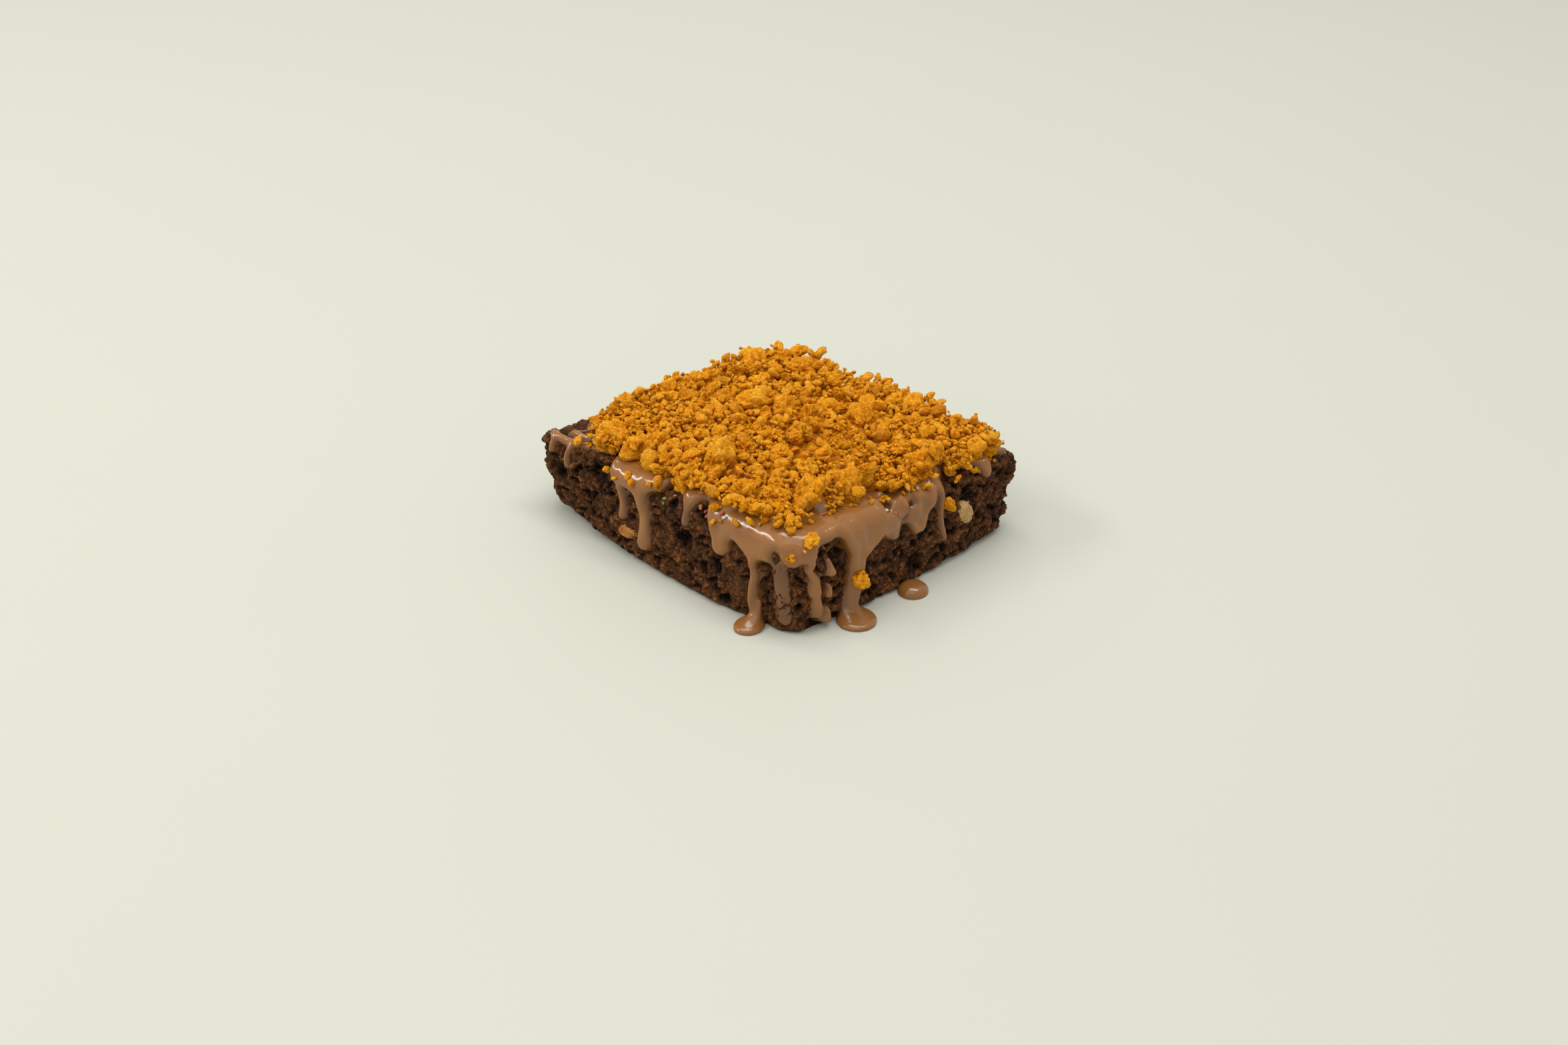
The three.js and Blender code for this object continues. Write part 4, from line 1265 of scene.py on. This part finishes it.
# %% Chunks in the side
CHUNK_SUNK = 0.5


def chunk_material(name, color, patch, roughness):
    material, tree, shader = new_material(name, roughness, Specular_IOR_Level=0.25)
    tree.links.new(mottled(tree, color, patch, 2.2, 0.7), shader["Base Color"])
    add_bump(tree, shader, fine_grain(tree, 0.9, 0.8), 0.15)
    return material


def add_chunk(name, node_name, material, slot, swell):
    low, high = (np.array(v) / MM - TO_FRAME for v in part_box(node_name))
    directions, faces = ball(5)
    bump, _ = grains(warped(directions * 5, 2.0, 0.8, 95), 1.3, 97)
    shape = directions * (1.04 + 0.14 * rolling(directions * 1.6, 0.9, 99) - 0.12 * bump)[:, None]
    middle = (low + high) / 2
    toward_middle = -unit(middle * [1, 1, 0])
    obj = add_object(name, middle + toward_middle * CHUNK_SUNK + shape * swell * (high - low) / 2, faces)
    place(obj, material, slot, node_name)


NUT_FLESH = chunk_material("nut_flesh", (0.62, 0.4, 0.15, 1), (0.3, 0.16, 0.05, 1), 0.45)
TOFFEE = chunk_material("toffee", (0.56, 0.23, 0.045, 1), (0.22, 0.075, 0.016, 1), 0.5)
add_chunk("nut", "nut_chunk", NUT_FLESH, "nut", 1.14)
add_chunk("toffee_piece", "toffee_chunk", TOFFEE, "toffee", 1.08)

# %% [markdown]
# ## Sugar flecks
#
# A few coloured bits of sugar and fruit lie among the crumbs along the front. They're far smaller
# than the crumbs, and they are what the eye finds there after the crumbs.

# %% Flecks stuck in the sauce
FLECKS = [
    # turn, run, radius, hue: 0 pink, 0.35 orange, 0.65 green, 1 white
    (0.655, 2.9, 0.8, 0.3), (0.672, 3.3, 0.5, 0.0), (0.68, 4.2, 0.6, 0.1), (0.733, 2.4, 0.55, 0.0),
    (0.748, 2.8, 0.45, 1.0), (0.74, 3.6, 0.6, 0.1), (0.52, 4.5, 0.55, 0.65), (0.526, 5.1, 0.4, 0.65),
    (0.552, 2.8, 0.35, 1.0), (1.028, 3.8, 0.5, 0.35), (1.405, 3.6, 0.35, 0.1), (1.42, 4.3, 0.3, 0.1),
    (1.37, 2.4, 0.3, 1.0), (0.46, -0.6, 0.35, 1.0), (0.985, 3.4, 0.25, 0.1),
]


def fleck_material():
    material, tree, shader = new_material("sugar_flecks", 0.3, Subsurface_Weight=0.2)
    shader["Subsurface Scale"].default_value = 0.6 * MM
    ramp = node(tree, "ShaderNodeValToRGB", {"Fac": mark(tree, "hue")})
    stops = ramp.color_ramp.elements
    stops[0].color = (0.42, 0.07, 0.05, 1)
    stops[1].color = (0.7, 0.6, 0.45, 1)
    stops.new(0.35).color = (0.72, 0.2, 0.02, 1)
    stops.new(0.65).color = (0.3, 0.32, 0.05, 1)
    color = mottled(tree, ramp.outputs["Color"], (0.3, 0.14, 0.06, 1), 1.0)
    tree.links.new(color, shader["Base Color"])
    return material


def add_flecks():
    directions, faces = ball(3)
    _, _, radii, hue = np.array(FLECKS).T
    shapes, _ = crumb_shapes(directions, 0.85 * radii, 0.6, 0.22, 0.4)
    middles = np.array([stuck(turn, run, radius) for turn, run, radius, _ in FLECKS])
    hues = np.broadcast_to(hue[:, None], shapes.shape[:2])
    obj = add_many("sugar_flecks", shapes, faces, middles, {"hue": hues})
    place(obj, fleck_material(), "biscuit")


add_flecks()

# %% [markdown]
# ## Table, light and camera
#
# The camera stands where the photograph was taken from. How level circles look in the photograph
# gave its distance, tilt and roll.

# %% Camera
LENS, SENSOR = 50.0, 36.0
PITCH, ROLL = np.radians(32.10), np.radians(3.25)
DISTANCE = 538.7
AIM = np.array([-1.7, 6.8, 0.0])  # the place on the table that the camera looks at, mm
CAKE_AT = np.array([-3.8, 9.0, 0.0])  # the cake's own origin, from the same point as AIM, mm
CAKE_TURN = np.radians(42.0)


def to_cake():
    """The matrix that turns the camera's right, away and up into the cake's frame."""
    c, s = np.cos(CAKE_TURN), np.sin(CAKE_TURN)
    return np.array([[c, -s, 0], [s, c, 0], [0, 0, 1]])


def camera_axes():
    """Right, up and backward axes of the camera, in the cake's frame."""
    forward = np.array([0, np.cos(PITCH), -np.sin(PITCH)])
    right = np.array([1.0, 0, 0])
    up = np.cross(right, forward)
    c, s = np.cos(ROLL), np.sin(ROLL)
    axes = np.stack([right * c + up * s, up * c - right * s, -forward])
    return axes @ to_cake().T


def stand(obj, axes, at):
    """Puts an object at a place in metres, with its right, up and backward along the axes."""
    matrix = np.eye(4)
    matrix[:3, :3] = axes.T
    matrix[:3, 3] = at
    obj.matrix_world = Matrix(matrix.tolist())
    bpy.context.scene.collection.objects.link(obj)


def add_camera():
    camera = bpy.data.objects.new("Camera", bpy.data.cameras.new("Camera"))
    camera.data.lens = LENS
    camera.data.sensor_width = SENSOR
    camera.data.clip_start = 0.01
    axes = camera_axes()
    at = to_cake() @ (AIM - CAKE_AT) + axes[2] * DISTANCE + TO_FRAME
    stand(camera, axes, at * MM)
    bpy.context.scene.camera = camera


add_camera()

# %% Table and light
FLOOR_HALF = 4.0  # m
SKY_STRENGTH = 0.66
LIGHTS = [
    # name, direction as the camera sees it, distance and size in metres, power, colour
    ("window", (0.08, 0.35, 1.5), 1.1, (1.0, 0.25), 5.6, (1.0, 0.985, 0.95)),
    ("ceiling", (-0.1, -0.35, 1.5), 1.3, (1.0, 1.0), 3.2, (1.0, 0.985, 0.96)),
    ("lamp", (-0.85, -0.05, 0.75), 1.1, (0.5, 0.12), 3.4, (1.0, 0.97, 0.92)),
    ("fill", (-1.0, -0.8, 0.8), 1.3, (0.9, 0.9), 1.1, (1.0, 0.98, 0.95)),
]


def floor_material():
    material, tree, shader = new_material("table", 0.5)
    color = mottled(tree, (0.545, 0.555, 0.48, 1), (0.535, 0.545, 0.473, 1), 200)
    tree.links.new(color, shader["Base Color"])
    return material


def add_floor():
    corners = [(x * FLOOR_HALF, y * FLOOR_HALF, 0) for x, y in ((-1, -1), (1, -1), (1, 1), (-1, 1))]
    mesh = bpy.data.meshes.new("table")
    mesh.from_pydata(corners, [], [(0, 1, 2, 3)])
    mesh.materials.append(floor_material())
    floor = bpy.data.objects.new("table", mesh)
    bpy.context.scene.collection.objects.link(floor)


def add_light(name, toward, distance, size, power, color):
    """A soft light, aimed at the cake, from a direction given as right, away and up."""
    data = bpy.data.lights.new(name, "AREA")
    data.shape = "RECTANGLE"
    data.size, data.size_y = size
    data.energy = power
    data.color = color
    backward = to_cake() @ unit(np.array(toward, float))
    right = unit(np.cross([0, 0, 1.0], backward))
    axes = np.stack([right, np.cross(backward, right), backward])
    stand(bpy.data.objects.new(name, data), axes, backward * distance)


def add_sky():
    world = bpy.data.worlds.new("sky")
    bpy.context.scene.world = world
    world.use_nodes = True
    background = world.node_tree.nodes["Background"]
    background.inputs["Color"].default_value = (1.0, 0.99, 0.97, 1)
    background.inputs["Strength"].default_value = SKY_STRENGTH


add_floor()
add_sky()
for light in LIGHTS:
    add_light(*light)
bpy.context.scene.view_settings.view_transform = "Standard"
